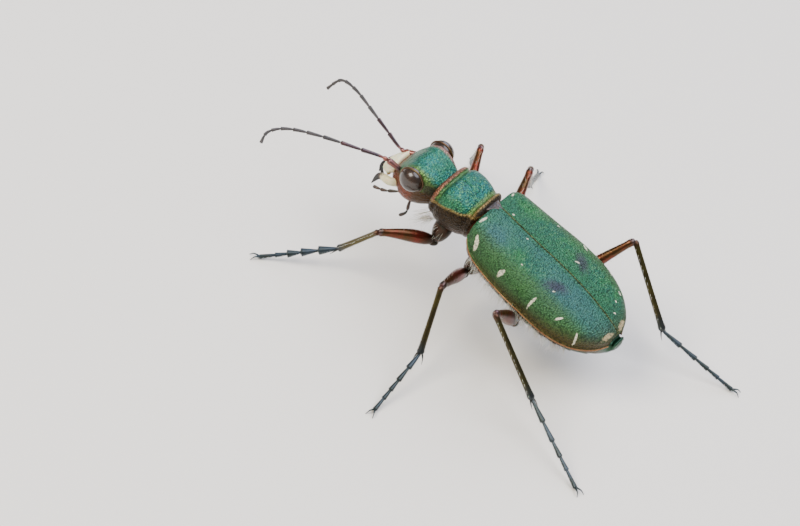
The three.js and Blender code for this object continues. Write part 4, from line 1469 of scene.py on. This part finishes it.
@dataclass
class Bristles:
    """White bristles on the underside, the legs and under the wing cases' edges."""

    stance: Stance
    legs: Legs
    wings: WingCases
    root_radius: float = 0.011
    tip_share: float = 0.12
    patch: float = 0.003
    segments: int = 4
    # The unwrapped map is shared out in bands: three for each leg and two for the trunk
    bands: int = 20
    # For each length of a leg, how many hairs a row has, the rows' angles, the hairs' length and their lean
    femur_rows: tuple = (12, (85, -95, -70), 0.4, 0.35)
    tibia_rows: tuple = (15, (20, 160, 230, 310), 0.18, 0.7)
    tarsus_rows: tuple = (16, (0, 180, 240, 300), 0.14, 0.9)
    tarsus_girths: Table = ((0, 0.1), (0.5, 0.11), (1, 0.1))
    def __post_init__(self) -> None:
        """Start the seeded random draw."""
        self.draw = np.random.default_rng(SEED)

    def hairs(self, roots: np.ndarray, heads: np.ndarray, lengths: np.ndarray, sag: np.ndarray,
              roots_uv: np.ndarray) -> tuple[np.ndarray, list[tuple[int, ...]], np.ndarray]:
        """Make tapered three-sided hairs.

        Args:
            roots: Where each grows, in world millimetres.
            heads: The direction each sets out in.
            lengths: Their lengths.
            sag: What each tip is bent by, as a share of its length.
            roots_uv: Each root's place on the unwrapped skin.

        Returns:
            The points, the faces and the unwrapped place of each point.
        """
        heads = unit(heads)
        level = unit(np.cross(heads, [0.31, 0.17, 0.93]))
        upright = np.cross(heads, level)
        shares = np.linspace(0, 1, self.segments)
        angles = round_angles(3)[:, None]
        bent = heads[:, None] * shares[:, None] + sag[:, None] * shares[:, None] ** 2
        middle = roots[:, None] + lengths[:, None, None] * bent
        radii = self.root_radius * (1 - (1 - self.tip_share) * shares)
        ring = level[:, None] * np.cos(angles) + upright[:, None] * np.sin(angles)
        points = middle[:, :, None] + radii[:, None, None] * ring[:, None]
        faces = []
        last = (self.segments - 1) * 3
        for base in range(0, len(roots) * self.segments * 3, self.segments * 3):
            for row in range(base, base + last, 3):
                for side in range(3):
                    a, b = row + side, row + (side + 1) % 3
                    faces.append((a, b, b + 3, a + 3))
            faces.append((base + 2, base + 1, base))
            faces.append((base + last, base + last + 1, base + last + 2))
        patch = np.stack(np.meshgrid(np.arange(3) / 2, shares, indexing="xy"), axis=-1).reshape(-1, 2)
        uv = roots_uv[:, None] + (patch - 0.5) * self.patch
        return points.reshape(-1, 3), faces, uv.reshape(-1, 2)

    def piece(self, name: str, slot: str, batches: Sequence[tuple], finish: Material) -> None:
        """Join batches of hairs into one piece with its unwrapped map.

        Args:
            name: The piece's name.
            slot: The record's slot that the finish belongs to; not used.
            batches: Batches of hairs.
            finish: The hairs' material.
        """
        shape = Shape()
        uvs = []
        for batch in batches:
            points, faces, uv = self.hairs(*batch)
            shape.add(points, faces)
            uvs.append(uv)
        piece = build(name, shape, np.asarray, finish, closed=False, sharp_deg=180)
        layer = piece.data.uv_layers.new(name="OFBake")
        corners = np.array([loop.vertex_index for loop in piece.data.loops])
        layer.data.foreach_set("uv", np.concatenate(uvs)[corners].astype(np.float32).ravel())

    def leg_batch(self, start: np.ndarray, end: np.ndarray, girths: Table, count: int, rows: Sequence[float],
                  length: float, lean: float, band: int) -> tuple:
        """Set rows of hairs along one length of a leg.

        Args:
            start: Where the length starts.
            end: Where it ends.
            girths: Its radii at shares of its length.
            count: How many hairs a row has.
            rows: The angles round the limb, in degrees up from level, of the rows.
            length: The hairs' usual length.
            lean: How far they lean toward the limb's end.
            band: Which band of the unwrapped map the length has.

        Returns:
            A batch of hairs.
        """
        ahead = unit(end - start)
        level, upright = crosswise(ahead)
        roots, heads, places = [], [], []
        for row in rows:
            shares = np.linspace(0.08, 0.93, count) + self.draw.uniform(-0.02, 0.02, count)
            angles = np.radians(row + self.draw.uniform(-9, 9, count))[:, None]
            out = level * np.cos(angles) + upright * np.sin(angles)
            bow = self.legs.bow(shares) if band % 3 == 0 else 0
            roots.append(start + (end - start) * shares[:, None] + bow
                         + out * (girth(girths, shares) * 0.85)[:, None])
            heads.append(out + ahead * lean + self.draw.normal(0, 0.12, (count, 3)))
            across = np.full(count, (band + row % 360 / 360) / self.bands)
            places.append(np.stack([shares * 0.9 + 0.05, across], axis=1))
        total = count * len(rows)
        lengths = length * self.draw.uniform(0.7, 1.2, total)
        sag = np.tile(ahead * 0.25, (total, 1)) + self.draw.normal(0, 0.06, (total, 3))
        return np.concatenate(roots), np.concatenate(heads), lengths, sag, np.concatenate(places)

    def cloud(self, centre: Point, spread: Point, head: Point, count: int, length: float, band: int) -> tuple:
        """Set hairs on a patch of the trunk.

        Args:
            centre: The patch's middle in the trunk's frame.
            spread: How far it reaches along each axis.
            head: The direction the hairs set out in, in the trunk's frame.
            count: How many hairs it has.
            length: Their usual length.
            band: Which band of the unwrapped map they have.

        Returns:
            A batch of hairs.
        """
        local = np.array(centre) + self.draw.uniform(-1, 1, (count, 3)) * spread
        toward = unit(np.tile(np.array(head), (count, 1)) + self.draw.normal(0, 0.22, (count, 3)))
        origin = self.stance.settled((0, 0, 0))
        lengths = length * self.draw.uniform(0.6, 1.15, count)
        sag = self.draw.normal(0, 0.1, (count, 3)) + [0, 0, -0.12]
        ahead = self.draw.uniform(0.05, 0.95, count)
        across = (band + self.draw.uniform(0, 1, count)) / self.bands
        places = np.stack([ahead, across], axis=1)
        return self.stance.settled(local), self.stance.settled(toward) - origin, lengths, sag, places

    def build(self) -> None:
        """Build the bristles of the legs and of the trunk."""
        # Clear unpigmented chitin, thin as thread, drawn twice as thick as real so that it shows
        finish = Cuticle("clear_white_bristle", "#DEDACE", "#C6C0B2", metallic=0.0, roughness=0.4, coat=0.1,
                         grain_mm=0.3, grain_depth_mm=0.001, translucent=0.2).make()
        batches = []
        for index, limb in enumerate(self.legs.limbs):
            _, hip, knee, ankle, foot = self.legs.joints(limb)
            for part, (start, end, girths, rows) in enumerate((
                (hip, knee, self.legs.femur_girths, self.femur_rows),
                (knee, ankle, self.legs.tibia_girths, self.tibia_rows),
                (ankle, foot, self.tarsus_girths, self.tarsus_rows),
            )):
                batches.append(self.leg_batch(start, end, girths, *rows, index * 3 + part))
        self.piece("leg_bristles", "femur", batches, finish)
        ys, widths, _, rims = np.array(self.wings.sections).T
        trunk = []
        for _, sign in SIDES:
            # The cheek, then the flank under the wing case's rim, then the three coxae
            trunk.append(self.cloud((sign * 0.95, -2.75, -2.2), (0.35, 0.35, 0.2), (sign * 0.5, -0.75, -0.6),
                                    70, 0.85, 18))
            for y in np.linspace(0.6, 6.6, 13):
                place = (sign * (np.interp(y, ys, widths) - 0.32), y, np.interp(y, ys, rims) - 0.35)
                trunk.append(self.cloud(place, (0.08, 0.3, 0.16), (sign * 0.8, 0.35, -0.65), 30, 0.6, 19))
            for x, y, z in self.legs.coxa_roots.values():
                trunk.append(self.cloud((sign * (x + 0.42), y, z - 0.75), (0.12, 0.25, 0.35),
                                        (sign * 0.8, -0.1, -0.35), 22, 0.5, 19))
        self.piece("trunk_bristles", "bronze_cuticle", trunk, finish)


@dataclass
class Studio:
    """A pale floor, soft light and the camera."""

    stance: Stance
    azimuth_deg: float = 110.92
    elevation_deg: float = 42.5
    roll_deg: float = 20.95
    distance: float = 200.0
    aim: Point = (3.874, -2.454, -3.106)
    lens: float = 180.72
    sensor: float = 36.0
    clip_start: float = 5.0
    floor_half: float = 3000.0
    floor_tone: str = "#EDE8DE"
    sky_tone: str = "#EEF2F5"
    sky_strength: float = 0.34
    lit_place: Point = (0.0, 1.0, -1.5)
    # Each lamp's azimuth and elevation, its distance and breadth, its power and its colour
    lamps: dict[str, tuple] = field(default_factory=lambda: {
        "high_sky": (200, 72, 260, 260, 0.95, "#F0F2FF"),
        "key": (60, 48, 260, 140, 0.8, "#FFF8EC"),
        "far_sheen": (285, 38, 260, 200, 0.55, "#D8E2FF"),
    })

    def build(self) -> None:
        """Build the floor, the lights and the camera."""
        self.build_floor()
        self.build_lights()
        self.build_camera()

    def back(self, azimuth_deg: float, elevation_deg: float) -> Vector:
        """Return the unit vector from the beetle toward a place round it."""
        turn, lift = math.radians(azimuth_deg), math.radians(elevation_deg)
        return Vector((math.sin(turn) * math.cos(lift), -math.cos(turn) * math.cos(lift), math.sin(lift)))

    def build_floor(self) -> None:
        """Build the floor, a wide sheet of pale matt card."""
        half = self.floor_half * MM
        corners = [(-half, -half, 0), (half, -half, 0), (half, half, 0), (-half, half, 0)]
        mesh = bpy.data.meshes.new("floor")
        mesh.from_pydata(corners, [], [(0, 1, 2, 3)])
        # Uncoated card, whose even whiteness shows the legs and their soft shadows
        material = bpy.data.materials.new("pale_matt_card")
        material.use_nodes = True
        shader = material.node_tree.nodes["Principled BSDF"]
        shader.inputs["Base Color"].default_value = linear(self.floor_tone)
        shader.inputs["Roughness"].default_value = 0.9
        mesh.materials.append(material)
        floor = bpy.data.objects.new("floor", mesh)
        bpy.context.scene.collection.objects.link(floor)

    def build_lights(self) -> None:
        """Hang three soft boxes and set a dim even sky."""
        middle = Vector(self.stance.settled(self.lit_place) * MM)
        for name, (azimuth, elevation, distance, size, power, colour) in self.lamps.items():
            lamp = bpy.data.lights.new(name, "AREA")
            lamp.shape = "DISK"
            lamp.size = size * MM
            lamp.energy = power
            lamp.color = linear(colour)[:3]
            lamp_object = bpy.data.objects.new(name, lamp)
            toward = self.back(azimuth, elevation)
            lamp_object.location = middle + toward * distance * MM
            lamp_object.rotation_euler = toward.to_track_quat("Z", "Y").to_euler()
            bpy.context.scene.collection.objects.link(lamp_object)
        world = bpy.data.worlds.new("even_sky")
        world.use_nodes = True
        background = world.node_tree.nodes["Background"]
        background.inputs["Color"].default_value = linear(self.sky_tone)
        background.inputs["Strength"].default_value = self.sky_strength
        bpy.context.scene.world = world

    def build_camera(self) -> None:
        """Set the camera at the photograph's angle, roll and framing."""
        turn, roll = math.radians(self.azimuth_deg), math.radians(self.roll_deg)
        back = self.back(self.azimuth_deg, self.elevation_deg)
        level = Vector((math.cos(turn), math.sin(turn), 0))
        right = level * math.cos(roll) + back.cross(level) * math.sin(roll)
        up = back.cross(right)
        aim = Vector((np.array(self.aim) + self.stance.shift) * MM)
        camera = bpy.data.cameras.new("camera")
        camera.lens = self.lens
        camera.sensor_width = self.sensor
        camera.sensor_fit = "HORIZONTAL"
        camera.clip_start = self.clip_start * MM
        camera_object = bpy.data.objects.new("camera", camera)
        basis = Matrix((right, up, back)).transposed().to_4x4()
        camera_object.matrix_world = Matrix.Translation(aim + back * self.distance * MM) @ basis
        bpy.context.scene.collection.objects.link(camera_object)
        bpy.context.scene.camera = camera_object


def main() -> None:
    """Build the beetle and its studio."""
    logging.basicConfig(level=logging.INFO, format="%(message)s")
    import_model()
    stance = Stance.from_frame(Head.eye_centre)
    wings = WingCases(stance)
    legs = Legs(stance)
    sub_assemblies = (
        wings, Scutellum(stance), Pronotum(stance), Head(stance), Mouthparts(stance), Feelers(stance),
        legs, Underbody(stance, wings), Bristles(stance, legs, wings), Studio(stance),
    )
    for sub_assembly in sub_assemblies:
        LOG.info("Building the %s", type(sub_assembly).__name__)
        sub_assembly.build()


if __name__ == "__main__":
    main()
